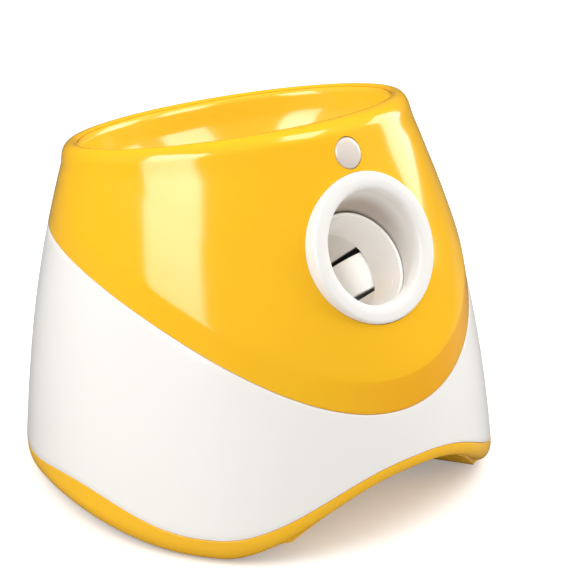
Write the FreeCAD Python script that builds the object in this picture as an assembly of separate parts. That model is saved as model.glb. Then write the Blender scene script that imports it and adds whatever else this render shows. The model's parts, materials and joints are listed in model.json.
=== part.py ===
import FreeCAD, Part
import math
import os
from FreeCAD import Vector, Placement, Rotation

# Automatic dog ball launcher. Millimetres, +Z up, the launch port looks along -Y.
# The origin is the middle of the footprint, on the ground; the parts are drawn about a working
# origin SHIFT_Y in front of it and moved at the end.

# ---- body skin -------------------------------------------------------------
HALF_WIDTH = 140.0        # footprint, to each side
FRONT_DEPTH = 141.0       # widest section to the front
BACK_DEPTH = 158.8        # widest section to the back
SHIFT_Y = -2.14
SKIN_START = 15.7         # height where the walls start to lean in
LEAN = 0.427              # share of the taper spent early
LEAN_SWAY = 0.037
BULGE = 0.284             # share of the taper spent half way
BULGE_SWAY = 0.092
SHOULDER_FRONT = 7.0      # full shoulder under the rim: how far it stands out
SHOULDER_BACK = 2.0
SHOULDER_FROM = 0.70      # where it starts, as a share of the skin's height
SHOULDER_DROP = 6.0       # the round from skin to rim starts this far below the rim's plane
SHELL_WALL = 2.8
SEAM = 0.25               # parting line between the coloured shells
BELT_PROUD = 1.7          # how far the yellow belt stands out at its crease
BELT_SHARE = 0.3          # the belt is never more than this share of the yellow height
BELT_FADE = 44.0          # height over which the crease dies out upwards
BIB_Z = 148.6             # parting line of yellow and white: height over the widest section
BIB_SLOPE = 0.264
BIB_BEND = 0.00218
CREASE_Z = 168.9
CREASE_SLOPE = 0.358
CREASE_BEND = 0.001745
TONGUE_T = 1.6            # inner tongue of the lower shell behind the parting line
TONGUE_H = 4.0

# ---- hopper rim and bowl ---------------------------------------------------
RIM_RX = 103.6            # centreline of the rolled rim
RIM_RY = 82.4
RIM_Y = 13.5
RIM_Z = 208.4
RIM_TILT = 10.7
LIP_R = 5.4
LIP_LEG = 8.0             # inner leg of the rolled rim
BOWL_WALL = 2.6

# ---- base ------------------------------------------------------------------
GROUND_GAP = 1.0          # lower edge of the tray above the ground at its feet
ROLL_H = 12.0             # height of the rolled lower edge
ROLL_IN = 8.5             # how far it tucks under
ROLL_SHARE = 0.8          # the roll is never more than this share of the band
BAND_WALL = 2.5
ARCH_H = 43.0             # front arch, from the ground
ARCH_HALF = 106.0
SIDE_ARCH_H = 7.5
BACK_ARCH_H = 14.0
BAND_FOOT = 16.0          # top of the yellow band at the feet
BAND_FRONT = 50.8
BAND_SIDE = 28.0
BAND_BACK = 31.0
FLOOR_Z = 11.5
FLOOR_T = 2.6
VAULT_BACK_Y = -30.0      # where the front arch has died out under the floor
VAULT_IN = 7.0            # vault ends this far inside the widest section
FOOT_R = 9.5
FOOT_T = 4.0
FOOT_X = 88.0
FOOT_FRONT_Y = -88.0
FOOT_BACK_Y = 84.0

# ---- launch barrel ---------------------------------------------------------
BALL_D = 50.0
BORE_CLEAR = 1.2
MOUTH_Y = -93.6
MOUTH_Z = 151.8
BARREL_TILT = 37.7
BARREL_WALL = 2.3
MOUTH_FLARE = 2.3
CHAMBER_STEP = 1.2
WHEEL_R = 32.0
WHEEL_T = 22.0
NIP_GAP = 44.0            # between the two treads, less than a ball
WHEEL_S = 48.0            # depth of the wheels behind the mouth
WHEEL_AIR = 3.0           # air above and below each wheel
WHEEL_SIDE_AIR = 2.0
TREAD_T = 3.0
GUARD_WALL = 2.2
DECK_T = 3.0
SHAFT_R = 1.6
FIT = 0.05                # radial clearance of a running fit
SEAT = 0.15               # clearance of parts that are pushed together

# ---- motors, gate, feed ----------------------------------------------------
MOTOR_R = 13.9
MOTOR_L = 38.0
MOTOR_BOSS_R = 5.0
TUBE_WALL = 2.2
TUBE_TOP_U = 50.0         # top of the feed tube above the barrel axis
GATE_U = 33.0
GATE_PIN_R = 3.0
GATE_REACH = 18.0
GATE_TRAVEL = 20.0
SOLENOID_W = 22.0
SOLENOID_L = 34.0
PLUNGER_R = 5.0
PLUNGER_L = 16.0
NECK_L = 8.0              # neck of the bowl inside the feed tube's socket
MOTOR_PITCH = 8.0         # screws to each side of the motor's axis
SENSOR_S = 86.0
SENSOR_U = -6.0
SENSOR_R = 2.5
DECK_HALF = 92.0
TOWER_R = 4.5
TOWER_FRONT_X = 38.0
TOWER_FRONT_S = 6.5
TOWER_BACK_X = 76.0
TOWER_BACK_S = 90.0
TOWER_DROP = 6.0
CASE_INBOARD = 15.0
CASE_BOSS_H = 24.0

# ---- port ------------------------------------------------------------------
PORT_Y = -104.9
PORT_Z = 164.3
PORT_TILT = 22.9
PORT_R = 42.7
PORT_OPEN_R = 32.0
PORT_CROWN = 4.2
PORT_SKIRT = 11.0
SLEEVE_WALL = 2.0
SLEEVE_S = 3.0            # sleeve ends this far behind the mouth's edge
SLEEVE_GAP = 0.6

# ---- button ----------------------------------------------------------------
BUTTON_Y = -84.3
BUTTON_Z = 214.2
BUTTON_TILT = 25.0
BUTTON_R = 9.0
BUTTON_GAP = 0.3
BUTTON_TRAVEL = 1.2
BUTTON_STEM = 1.5

# ---- power -----------------------------------------------------------------
CELL_R = 13.1
CELL_L = 50.0
CELL_GAP = 0.4
BOX_WALL = 2.0
BOX_Y = 30.0              # front wall of the battery box
DOOR_T = 2.2
DOOR_AIR = 0.3
RAIL_W = 5.0
JACK_Z = 62.0
JACK_R = 5.5
JACK_HOLE_R = 2.9
PCB_T = 1.6
PCB_W = 46.0
PCB_L = 70.0
PCB_X = -87.0
PCB_Y = 22.0
PCB_Z = 52.0
CONTACT_ROOM = 4.0
DOOR_DROP = 0.3           # door below the floor's underside
DOOR_LAP = 6.0            # door past the battery opening at each side
DOOR_GRIP = 14.0          # ribbed thumb zone in front of the battery box
DOOR_TAIL = 5.0
JACK_SUNK = 3.0
SCREW_R = 1.5
SCREW_HEAD_R = 2.8
SCREW_HEAD_T = 1.8

RING = 36                 # points round each lofted section
parts = {}


# ---- small helpers ---------------------------------------------------------
def rad(a):
    return math.radians(a)


WIDEST_Y = (FRONT_DEPTH - BACK_DEPTH) / 2
ANGLES = [2 * math.pi * i / RING + math.pi for i in range(RING)]
RIM_DOWN = Vector(0, -math.cos(rad(RIM_TILT)), math.sin(rad(RIM_TILT)))
RIM_UP = Vector(0, math.sin(rad(RIM_TILT)), math.cos(rad(RIM_TILT)))
BORE_R = BALL_D / 2 + BORE_CLEAR
CHAMBER_R = BORE_R + CHAMBER_STEP
BARREL_R = CHAMBER_R + BARREL_WALL
WHEEL_X = NIP_GAP / 2 + WHEEL_R
GUARD_U = WHEEL_T / 2 + WHEEL_AIR
GUARD_R = WHEEL_R + WHEEL_AIR
BALL_S = WHEEL_S + math.sqrt((WHEEL_R + BALL_D / 2) ** 2 - WHEEL_X ** 2)
BREECH_S = BALL_S + BORE_R
TUBE_R = BORE_R + 0.6
DECK_U = -GUARD_U
FLOOR_TOP = FLOOR_Z + FLOOR_T


def frame_at(y, z, tilt):
    """Local frame whose -Y looks out and up by tilt degrees, at (0, y, z)."""
    return Placement(Vector(0, y, z), Rotation(Vector(1, 0, 0), -tilt))


BARREL = frame_at(MOUTH_Y, MOUTH_Z, BARREL_TILT)
PORT = frame_at(PORT_Y, PORT_Z, PORT_TILT)
BUTTON = frame_at(BUTTON_Y, BUTTON_Z, BUTTON_TILT)


def put(shape, frame):
    s = shape.copy()
    s.Placement = frame.multiply(s.Placement)
    return s


def cyl(r, h, x, y, z, axis="z"):
    d = {"x": Vector(1, 0, 0), "y": Vector(0, 1, 0), "z": Vector(0, 0, 1)}[axis]
    return Part.makeCylinder(r, h, Vector(x, y, z), d)


def box(x0, x1, y0, y1, z0, z1):
    return Part.makeBox(x1 - x0, y1 - y0, z1 - z0, Vector(x0, y0, z0))


def tube(r_out, r_in, h, x, y, z, axis="z"):
    return cyl(r_out, h, x, y, z, axis).cut(cyl(r_in, h, x, y, z, axis))


def union(shapes):
    out = shapes[0]
    for s in shapes[1:]:
        out = out.fuse(s)
    return out.removeSplitter()


def turned(points, axis_y=True):
    """Solid of revolution about the local Y axis from (radius, y) points."""
    pts = [Vector(r, y, 0) for r, y in points]
    face = Part.Face(Part.makePolygon(pts + [pts[0]]))
    return face.revolve(Vector(0, 0, 0), Vector(0, 1, 0), 360)


# ---- lofted skins ----------------------------------------------------------
def ring_wire(pts):
    c = Part.BSplineCurve()
    c.interpolate(Points=pts, PeriodicFlag=True, Parameters=[float(i) for i in range(len(pts) + 1)])
    return Part.Wire([c.toShape()])


def inset(pts, d, dz=0.0):
    """Moves a ring inwards in plan by d."""
    out = []
    for i, p in enumerate(pts):
        t = pts[(i + 1) % len(pts)] - pts[i - 1]
        t.z = 0
        t.normalize()
        k = d[i] if isinstance(d, list) else d
        out.append(Vector(p.x - t.y * k, p.y + t.x * k, p.z + dz))
    return out


def skin_solid(outer, inner):
    """Closed wall between two stacks of rings, strip by strip."""
    faces = []
    for rows in (outer, inner):
        wires = [ring_wire(r) for r in rows]
        for a, b in zip(wires[:-1], wires[1:]):
            faces += Part.makeLoft([a, b], False, True).Faces
    for a, b in ((outer[0], inner[0]), (outer[-1], inner[-1])):
        if a is not b:
            faces.append(Part.makeRuledSurface(ring_wire(a).Edges[0], ring_wire(b).Edges[0]))
    shell = Part.makeShell(faces)
    shell.sewShape()
    solid = Part.makeSolid(shell)
    if solid.Volume < 0:
        solid.reverse()
    return solid


def rim_point(th, out, up):
    s, c = math.sin(th), math.cos(th)
    n = Vector(s / RIM_RX, 0, 0) + RIM_DOWN * (c / RIM_RY)
    n.normalize()
    return Vector(0, RIM_Y, RIM_Z) + Vector(RIM_RX * s, 0, 0) + RIM_DOWN * (RIM_RY * c) + n * out + RIM_UP * up


def shoulder(t):
    return ((t - SHOULDER_FROM) / (1 - SHOULDER_FROM)) ** 1.6 if t > SHOULDER_FROM else 0.0


def skin_point(th, z):
    """Point of the outer skin at plan angle th (0 is the front) and height z."""
    s, c = math.sin(th), math.cos(th)
    bx, by = HALF_WIDTH * s, WIDEST_Y - (FRONT_DEPTH if c > 0 else BACK_DEPTH) * c
    r = rim_point(th, LIP_R - 0.7, 0)
    t = max(0.0, (z - SKIN_START) / (r.z - SKIN_START))
    a, b = LEAN - LEAN_SWAY * c, BULGE + BULGE_SWAY * c
    h = a * t + b * t * t + (1 - a - b) * t ** 3
    n = Vector(s / HALF_WIDTH, -c / (FRONT_DEPTH if c > 0 else BACK_DEPTH), 0)
    n.normalize()
    push = shoulder(t) * (SHOULDER_FRONT * max(0.0, c) ** 5 + SHOULDER_BACK * max(0.0, -c) ** 2)
    return Vector(bx + (r.x - bx) * h, by + (r.y - by) * h, z) + n * push


def bib_line(y):
    y -= WIDEST_Y
    return BIB_Z + BIB_SLOPE * y - BIB_BEND * y * y


def crease_line(y):
    y -= WIDEST_Y
    return CREASE_Z + CREASE_SLOPE * y - CREASE_BEND * y * y


def height_on_skin(th, line):
    z = MOUTH_Z
    for _ in range(14):
        z = line(skin_point(th, z).y)
    return z


def swell(th, centre, half):
    """Smooth hump of 1 at plan angle centre, 0 beyond half, both in degrees."""
    a = abs(math.degrees(th) % 360)
    a = min(a, 360 - a)
    d = abs(a - centre)
    return math.cos(math.pi / 2 * d / half) ** 2 if d < half else 0.0


def arch_shape(x, half, power):
    return (1 - (abs(x) / half) ** 2.3) ** power if abs(x) < half else 0.0


def lower_edge(th):
    front = arch_shape(HALF_WIDTH * math.sin(th), ARCH_HALF, 1.7) if math.cos(th) > 0 else 0.0
    return (GROUND_GAP + (ARCH_H - GROUND_GAP) * front + (SIDE_ARCH_H - GROUND_GAP) * swell(th, 96, 42)
            + (BACK_ARCH_H - GROUND_GAP) * swell(th, 180, 40))


def band_top(th):
    front = arch_shape(HALF_WIDTH * math.sin(th), ARCH_HALF + 2, 1.9) if math.cos(th) > 0 else 0.0
    return (BAND_FOOT + (BAND_FRONT - BAND_FOOT) * front + (BAND_SIDE - BAND_FOOT) * swell(th, 88, 34)
            + (BAND_BACK - BAND_FOOT) * swell(th, 180, 40))


def skin_ring(heights, depth=0.0):
    return inset([skin_point(a, z) for a, z in zip(ANGLES, heights)], depth)


BIB = [height_on_skin(a, bib_line) for a in ANGLES]
SKIN_TOP = [rim_point(a, LIP_R - 0.7, -SHOULDER_DROP).z for a in ANGLES]
CREASE = [min(height_on_skin(a, crease_line), b + BELT_SHARE * (t - b)) for a, b, t in zip(ANGLES, BIB, SKIN_TOP)]
BAND = [band_top(a) for a in ANGLES]


def lip_ring(phase, wall):
    """Ring round the rolled rim: phase 0 is the skin's top, 90 the crest, 180 the inner side."""
    c, s = math.cos(rad(phase)), math.sin(rad(phase))
    out = []
    for th, z in zip(ANGLES, SKIN_TOP):
        if phase >= 90:
            out.append(rim_point(th, (LIP_R - wall) * c, (LIP_R - wall) * s))
            continue
        base = rim_point(th, 0, -SHOULDER_DROP)
        reach = (skin_point(th, z) - base).dot(rim_point(th, 1, -SHOULDER_DROP) - base)
        out.append(rim_point(th, (reach - wall) * c, (LIP_R + SHOULDER_DROP - wall) * s - SHOULDER_DROP))
    return out


def belt_push(i, z):
    """Extra outward step of the belt at ring point i and height z; it fades to the back."""
    a = abs(math.degrees(ANGLES[i]) % 360)
    a = min(a, 360 - a)
    fade = max(0.0, min(1.0, (125 - a) / 60))
    fade = fade * fade * (3 - 2 * fade)
    k = (z - BIB[i]) / (CREASE[i] - BIB[i]) if z <= CREASE[i] else 1 - (z - CREASE[i]) / BELT_FADE
    return BELT_PROUD * fade * max(0.0, k)


def yellow_ring(heights, depth=0.0):
    pts = [skin_point(a, z) for a, z in zip(ANGLES, heights)]
    out = []
    for i, p in enumerate(pts):
        t = pts[(i + 1) % RING] - pts[i - 1]
        t.z = 0
        t.normalize()
        d = depth - belt_push(i, p.z)
        out.append(Vector(p.x - t.y * d, p.y + t.x * d, p.z))
    return out


# ---- shells ----------------------------------------------------------------
def upper_shell():
    rows, rows_in = [], []
    for f in (0.0, 0.5, 1.0):
        rows.append(yellow_ring([b + (c - b) * f for b, c in zip(BIB, CREASE)]))
    for f in (0.12, 0.3, 0.5, 0.7, 0.86, 0.97):
        rows.append(yellow_ring([c + (t - c) * f for c, t in zip(CREASE, SKIN_TOP)]))
    for phase in (16, 34, 52, 70, 90, 113, 136, 158, 180):
        rows.append(lip_ring(phase, 0))
    rows.append([rim_point(a, -LIP_R, -LIP_LEG) for a in ANGLES])
    for f in (0.0, 1.0):
        rows_in.append(yellow_ring([b + (c - b) * f for b, c in zip(BIB, CREASE)], SHELL_WALL))
    for f in (0.3, 0.6, 0.84, 0.97):
        rows_in.append(yellow_ring([c + (t - c) * f for c, t in zip(CREASE, SKIN_TOP)], SHELL_WALL))
    for phase in (25, 56, 90, 135, 180):
        rows_in.append(lip_ring(phase, SHELL_WALL))
    rows_in.append([rim_point(a, SHELL_WALL - LIP_R, -LIP_LEG) for a in ANGLES])
    shell = skin_solid(rows, rows_in)
    hole = put(cyl(PORT_R + SEAT, 60, 0, -30, 0, "y"), PORT)
    keyhole = put(cyl(BUTTON_R + BUTTON_GAP, 14, 0, -7, 0, "y"), BUTTON)
    return shell.cut(hole).cut(keyhole)


def lower_shell():
    top = [b - SEAM for b in BIB]
    rows, rows_in = [], []
    for f in (0.0, 0.3, 0.64, 1.0):
        hs = [a + (b - a) * f for a, b in zip(BAND, top)]
        rows.append(skin_ring(hs))
        rows_in.append(skin_ring(hs, SHELL_WALL))
    return skin_solid(rows, rows_in)


def roll_at(th):
    """Height and tuck of the rolled edge, smaller where the band is narrow."""
    h = min(ROLL_H, ROLL_SHARE * (band_top(th) - lower_edge(th)))
    return h, ROLL_IN * h / ROLL_H


def base_wall():
    rows, rows_in = [], []
    roll = [roll_at(t) for t in ANGLES]
    low = [lower_edge(t) for t in ANGLES]
    for a in (0, 30, 60, 90):
        s, c = math.sin(rad(a)), math.cos(rad(a))
        hs = [z + r[0] * (1 - c) for z, r in zip(low, roll)]
        rows.append(skin_ring(hs, [r[1] * (1 - s) for r in roll]))
        rows_in.append(skin_ring([h + BAND_WALL * c for h in hs], [r[1] * (1 - s) + BAND_WALL * s for r in roll]))
    top = [b - SEAM for b in BAND]
    rows.append(skin_ring(top))
    rows_in.append(skin_ring(top, BAND_WALL))
    return skin_solid(rows, rows_in)


def inner_core(z0, z1, depth):
    """Solid that fills the body between two heights, depth inside the outer skin."""
    lo = ring_wire(skin_ring([z0] * RING, depth))
    hi = ring_wire(skin_ring([z1] * RING, depth))
    return Part.makeLoft([lo, hi], True, True)


def arch_tool(grow):
    """Tapering vault under the front, dying out at VAULT_BACK_Y."""
    front_y = WIDEST_Y - FRONT_DEPTH - 20
    wires = []
    for y, k in ((front_y, 1.16), (VAULT_BACK_Y, 0.06)):
        half, top = ARCH_HALF * (0.35 + 0.65 * k), (ARCH_H + 4) * k
        pts = []
        for i in range(17):
            x = half * math.sin(math.pi / 2 * (i / 8.0 - 1))
            pts.append(Vector(x * (1 + grow / half), y, top * arch_shape(x, half * 1.0001, 1.3) + grow))
        pts += [Vector(pts[-1].x, y, -30), Vector(pts[0].x, y, -30), pts[0]]
        wires.append(Part.makePolygon(pts))
    return Part.makeLoft(wires, True, True)


def boss_points():
    return [(x, y) for y in (FOOT_FRONT_Y, FOOT_BACK_Y) for x in (-FOOT_X, FOOT_X)]


def case_points():
    """Case screws, just inboard of the skin at the four corners."""
    out = []
    for a in (-58, 58, -122, 122):
        p = skin_point(rad(a), BAND_FOOT)
        k = 1 - CASE_INBOARD / math.hypot(p.x, p.y)
        out.append((p.x * k, p.y * k))
    return out


def tower_points():
    """Tops of the towers that carry the launch deck: (x, y, z)."""
    out = []
    for x, s in ((TOWER_FRONT_X, TOWER_FRONT_S), (TOWER_BACK_X, TOWER_BACK_S)):
        p = BARREL.multVec(Vector(x, s, DECK_U - DECK_T / 2))
        out += [(-x, p.y, p.z - TOWER_DROP), (x, p.y, p.z - TOWER_DROP)]
    return out


DOOR_Z = FLOOR_Z - DOOR_DROP - DOOR_T
BOX_HALF = CELL_L + 2 * CELL_GAP + BOX_WALL + CONTACT_ROOM
BOX_DEPTH = 3 * (2 * CELL_R + CELL_GAP) + CELL_GAP
BOX_BACK = BOX_Y + 2 * BOX_WALL + BOX_DEPTH
CELL_Z = FLOOR_Z + CELL_GAP + CELL_R
DOOR_HALF = BOX_HALF - BOX_WALL + DOOR_LAP
BOX_TOP = FLOOR_Z + 2 * CELL_R + 2 * CELL_GAP + BOX_WALL
PCB_POSTS = [(PCB_X + sx * (PCB_W / 2 - 4), PCB_Y + sy * (PCB_L / 2 - 4)) for sx in (-1, 1) for sy in (-1, 1)]


def floor_depth(th):
    """Depth of the middle of the rolled wall at the floor's height."""
    high, tuck = roll_at(th)
    up = (FLOOR_Z + FLOOR_T / 2 - lower_edge(th)) / high
    if up <= 0.12:
        return ROLL_IN + SHELL_WALL
    a = math.acos(max(-1.0, min(1.0, 1 - up))) if up < 1 else math.pi / 2
    return tuck * (1 - math.sin(a)) + BAND_WALL * 0.55


def base_tray():
    wall = base_wall()
    vault_void = arch_tool(0)
    vault = arch_tool(FLOOR_T).cut(vault_void).common(cyl(HALF_WIDTH - VAULT_IN, 80, 0, WIDEST_Y, FLOOR_Z))
    edge = [floor_depth(a) for a in ANGLES]
    floor = inner_core(FLOOR_Z, FLOOR_TOP, edge).cut(vault_void)
    solids = [floor]
    for x, y in boss_points():
        solids.append(cyl(FOOT_R + 3, FLOOR_Z, x, y, FOOT_T - 1))
    for x, y in case_points():
        solids.append(cyl(SCREW_R + 3.2, FLOOR_T + 2, x, y, FLOOR_Z))
    tray = union([wall] + solids)
    tray = tray.fuse(vault)
    posts = []
    for x, y, z in tower_points():
        posts.append(cyl(TOWER_R, z - FLOOR_Z - 1, x, y, FLOOR_Z + 1).cut(vault_void))
    for x, y in PCB_POSTS:
        posts.append(cyl(3.2, PCB_Z - FLOOR_Z - 1, x, y, FLOOR_Z + 1))
    tray = tray.fuse(posts)
    cuts = []
    for x, y in boss_points():
        cuts.append(cyl(FOOT_R + SEAT, FOOT_T + 0.02, x, y, -0.02))
    for x, y, z in tower_points():
        cuts.append(cyl(SCREW_R, 14, x, y, z - 13))
    for x, y in PCB_POSTS:
        cuts.append(cyl(SCREW_R, 9, x, y, PCB_Z - 8))
    for x, y in case_points():
        cuts.append(cyl(SCREW_R + 0.2, 30, x, y, -5))
        cuts.append(cyl(SCREW_HEAD_R + 0.3, FLOOR_Z + 2, x, y, 0))
    cuts.append(box(-BOX_HALF + BOX_WALL, BOX_HALF - BOX_WALL, BOX_Y + BOX_WALL, BOX_BACK - BOX_WALL,
                    FLOOR_Z - 5, FLOOR_TOP + 5))
    for c in cuts:
        tray = tray.cut(c)
    rails = []
    for s in (-1, 1):
        x0, x1 = sorted((s * (DOOR_HALF + DOOR_AIR), s * (DOOR_HALF + DOOR_AIR + 2.0)))
        y0, y1 = BOX_Y - 6, BOX_BACK + DOOR_TAIL + 3
        rails.append(box(x0, x1, y0, y1, DOOR_Z - DOOR_AIR - 1.8, FLOOR_Z + 0.5))
        x0, x1 = sorted((s * (DOOR_HALF - 3), s * (DOOR_HALF + DOOR_AIR + 2.0)))
        rails.append(box(x0, x1, y0, y1, DOOR_Z - DOOR_AIR - 1.8, DOOR_Z - DOOR_AIR))
    y0 = BOX_BACK + DOOR_TAIL + DOOR_AIR
    rails.append(box(-DOOR_HALF - 1, DOOR_HALF + 1, y0, y0 + 2, DOOR_Z, FLOOR_Z + 0.5))
    return tray.fuse(rails).removeSplitter()


def lower_shell_full():
    shell = lower_shell()
    # tongue that stands up behind the yellow shell
    lap = SHELL_WALL - 0.6
    out = [skin_ring([b - 8 for b in BIB], lap), skin_ring([b - 1.6 for b in BIB], lap),
           skin_ring([b - 0.8 for b in BIB], SHELL_WALL + SEAT), skin_ring([b + TONGUE_H for b in BIB], SHELL_WALL + SEAT)]
    deep = SHELL_WALL + SEAT + TONGUE_T
    inn = [skin_ring([b - 8 for b in BIB], deep), skin_ring([b - 1.6 for b in BIB], deep),
           skin_ring([b - 0.8 for b in BIB], deep), skin_ring([b + TONGUE_H for b in BIB], deep)]
    tongue = skin_solid(out, inn)
    # case bosses with a web to the wall
    bosses = []
    for x, y in case_points():
        r = math.hypot(x, y)
        web = box(0, CASE_INBOARD, -1.1, 1.1, FLOOR_TOP + 4, FLOOR_TOP + CASE_BOSS_H - 3)
        web.Placement = Placement(Vector(x, y, 0), Rotation(Vector(0, 0, 1), math.degrees(math.atan2(y, x))))
        bosses.append(cyl(SCREW_R + 2.6, CASE_BOSS_H - 2, x, y, FLOOR_TOP + 2).fuse(web))
    keep = inner_core(FLOOR_TOP - 1, FLOOR_TOP + CASE_BOSS_H + 2, SHELL_WALL / 2)
    shell = shell.fuse([tongue] + [b.common(keep) for b in bosses])
    for x, y in case_points():
        shell = shell.cut(cyl(SCREW_R, CASE_BOSS_H - 4, x, y, FLOOR_TOP))
    # flat seat of the power inlet
    y_out = skin_point(math.pi, JACK_Z).y
    pad = cyl(JACK_R + 5, 9, 0, y_out - 9.5, JACK_Z, "y").common(inner_core(JACK_Z - 17, JACK_Z + 17, 0.4))
    shell = shell.fuse(pad)
    shell = shell.cut(cyl(JACK_R + 3.2, 12, 0, y_out - JACK_SUNK, JACK_Z, "y"))
    shell = shell.cut(cyl(JACK_R + SEAT, 30, 0, y_out - 20, JACK_Z, "y"))
    return shell.removeSplitter()


def jack():
    y_out = skin_point(math.pi, JACK_Z).y
    seat = y_out - JACK_SUNK
    sleeve = cyl(JACK_R, 12, 0, seat - 12, JACK_Z, "y")
    flange = cyl(JACK_R + 2.2, 1.4, 0, seat, JACK_Z, "y")
    body = box(-7, 7, seat - 24, seat - 11.5, JACK_Z - 5.5, JACK_Z + 5.5)
    out = union([sleeve, flange, body]).cut(cyl(JACK_HOLE_R, 10, 0, seat - 8.6, JACK_Z, "y"))
    return out.fuse(cyl(1.0, 8, 0, seat - 8.8, JACK_Z, "y"))


def jack_nut():
    y_out = skin_point(math.pi, JACK_Z).y
    y0 = y_out - 9.5
    hexa = Part.Face(Part.makePolygon([Vector((JACK_R + 3) * math.cos(rad(60 * i)), y0,
                                              JACK_Z + (JACK_R + 3) * math.sin(rad(60 * i))) for i in range(7)]))
    return hexa.extrude(Vector(0, -2, 0)).cut(cyl(JACK_R + FIT, 6, 0, y0 - 4, JACK_Z, "y"))


# ---- hopper bowl -----------------------------------------------------------
def bowl_rows(d):
    """Rings of the bowl, d below its rolling surface."""
    top = [rim_point(a, -LIP_R, -LIP_LEG - SEAM) for a in ANGLES]
    neck = []
    for a in ANGLES:
        neck.append(BARREL.multVec(Vector(TUBE_R * math.sin(a), BALL_S - TUBE_R * math.cos(a), TUBE_TOP_U)))
    rows = []
    for f, g in ((0.0, 0.0), (0.03, 0.12), (0.1, 0.3), (0.22, 0.5), (0.4, 0.68), (0.62, 0.82), (0.84, 0.925), (0.97, 0.985)):
        row = []
        for p, q in zip(top, neck):
            row.append(Vector(p.x + (q.x - p.x) * f, p.y + (q.y - p.y) * f, p.z + (q.z - p.z) * g))
        rows.append(row)
    rows.append(neck)
    rows.append([BARREL.multVec(Vector(TUBE_R * math.sin(a), BALL_S - TUBE_R * math.cos(a), TUBE_TOP_U - NECK_L))
                 for a in ANGLES])
    if not d:
        return rows
    out = []
    for i, row in enumerate(rows):
        a, b = rows[max(i - 1, 0)], rows[min(i + 1, len(rows) - 1)]
        new = []
        for j, p in enumerate(row):
            n = (row[(j + 1) % RING] - row[j - 1]).cross(b[j] - a[j])
            n.normalize()
            new.append(p - n * d)
        out.append(new)
    return out


def hopper_bowl():
    return skin_solid(bowl_rows(-BOWL_WALL), bowl_rows(0))


def feed_tube():
    """Tube from the bowl's neck down to the chamber, square to the barrel."""
    r_in, r_out = TUBE_R, TUBE_R + TUBE_WALL
    low = GUARD_U + GUARD_WALL + SEAT
    body = tube(r_out, r_in, TUBE_TOP_U - NECK_L - SEAT - low, 0, BALL_S, low)
    socket = tube(SOCKET_R, r_in + BOWL_WALL + SEAT, NECK_L + 3.5, 0, BALL_S, TUBE_TOP_U - NECK_L - 5)
    collar = tube(SOCKET_R, r_in, 4, 0, BALL_S, TUBE_TOP_U - NECK_L - SEAT - 4)
    out = union([body, socket, collar])
    # saddle for the gate's solenoid
    arm = box(-SOLENOID_W / 2 - 2, SOLENOID_W / 2 + 2, BALL_S + r_in + 0.5, GATE_BACK_S,
              GATE_U - SOLENOID_W / 2 - 2.5, GATE_U - SOLENOID_W / 2)
    ear = box(-SOLENOID_W / 2 - 2, SOLENOID_W / 2 + 2, BALL_S + r_in + 0.5, GATE_FACE_S,
              GATE_U - SOLENOID_W / 2 - 2.5, GATE_U + SOLENOID_W / 2 + 1)
    arm = union([arm, ear]).cut(cyl(r_in, 80, 0, BALL_S, 0))
    out = out.fuse(arm).cut(barrel_outside(SEAT))
    out = out.cut(cyl(GATE_PIN_R + FIT + 0.25, 20, 0, BALL_S + r_in - 5, GATE_U, "y"))
    return put(solid_only(out.removeSplitter()), BARREL)


def merged(shape):
    """The shape with its split faces joined, where that keeps it sound."""
    clean = shape.removeSplitter()
    return clean if clean.isValid() else shape


def solid_only(shape):
    """Largest solid of a shape, without loose crumbs."""
    return max(shape.Solids, key=lambda s: s.Volume)


SOCKET_R = TUBE_R + TUBE_WALL + BOWL_WALL + 0.8
GATE_FACE_S = BALL_S + SOCKET_R + 0.3
GATE_BACK_S = GATE_FACE_S + SOLENOID_L


def gate_solenoid():
    w = SOLENOID_W / 2
    frame = box(-w, w, GATE_FACE_S, GATE_BACK_S, GATE_U - w, GATE_U + w)
    coil_room = box(-w - 1, w + 1, GATE_FACE_S + 2, GATE_BACK_S - 2, GATE_U - w + 2, GATE_U + w + 1)
    coil = cyl(w - 2.4, SOLENOID_L - 4, 0, GATE_FACE_S + 2, GATE_U, "y")
    out = frame.cut(coil_room).fuse(coil)
    out = out.cut(cyl(PLUNGER_R + FIT, SOLENOID_L + 2, 0, GATE_FACE_S + 4, GATE_U, "y"))
    out = out.cut(cyl(GATE_PIN_R + FIT, 10, 0, GATE_FACE_S - 1, GATE_U, "y"))
    return put(out, BARREL)


def gate_pin():
    tip = BALL_S + TUBE_R - GATE_REACH
    pin = cyl(GATE_PIN_R, GATE_BACK_S - tip - 4, 0, tip + 2, GATE_U, "y")
    nose = Part.makeCone(GATE_PIN_R * 0.5, GATE_PIN_R, 2, Vector(0, tip, GATE_U), Vector(0, 1, 0))
    plunger = cyl(PLUNGER_R, PLUNGER_L, 0, GATE_FACE_S + 4.3, GATE_U, "y")
    return put(union([pin, nose, plunger]), BARREL)


# ---- barrel ----------------------------------------------------------------
NOZZLE_S = WHEEL_S - math.sqrt((WHEEL_R + WHEEL_SIDE_AIR) ** 2 - (WHEEL_X - BARREL_R) ** 2)
MOUTH_R = BORE_R + MOUTH_FLARE + BARREL_WALL
GUARD_EARS = [((GUARD_R + GUARD_WALL + 3.1) * math.cos(rad(a)), (GUARD_R + GUARD_WALL + 3.1) * math.sin(rad(a)))
              for a in (-36, 28, 98)]


def barrel_outside(grow):
    """Solid inside the barrel's outer walls, for cutting its neighbours free."""
    cap = BREECH_S + 2.5 + grow
    return turned([(0, -60), (MOUTH_R + grow, -60), (MOUTH_R + grow, 6), (BARREL_R + grow, NOZZLE_S),
                   (BARREL_R + grow, cap), (0, cap)])


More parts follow.
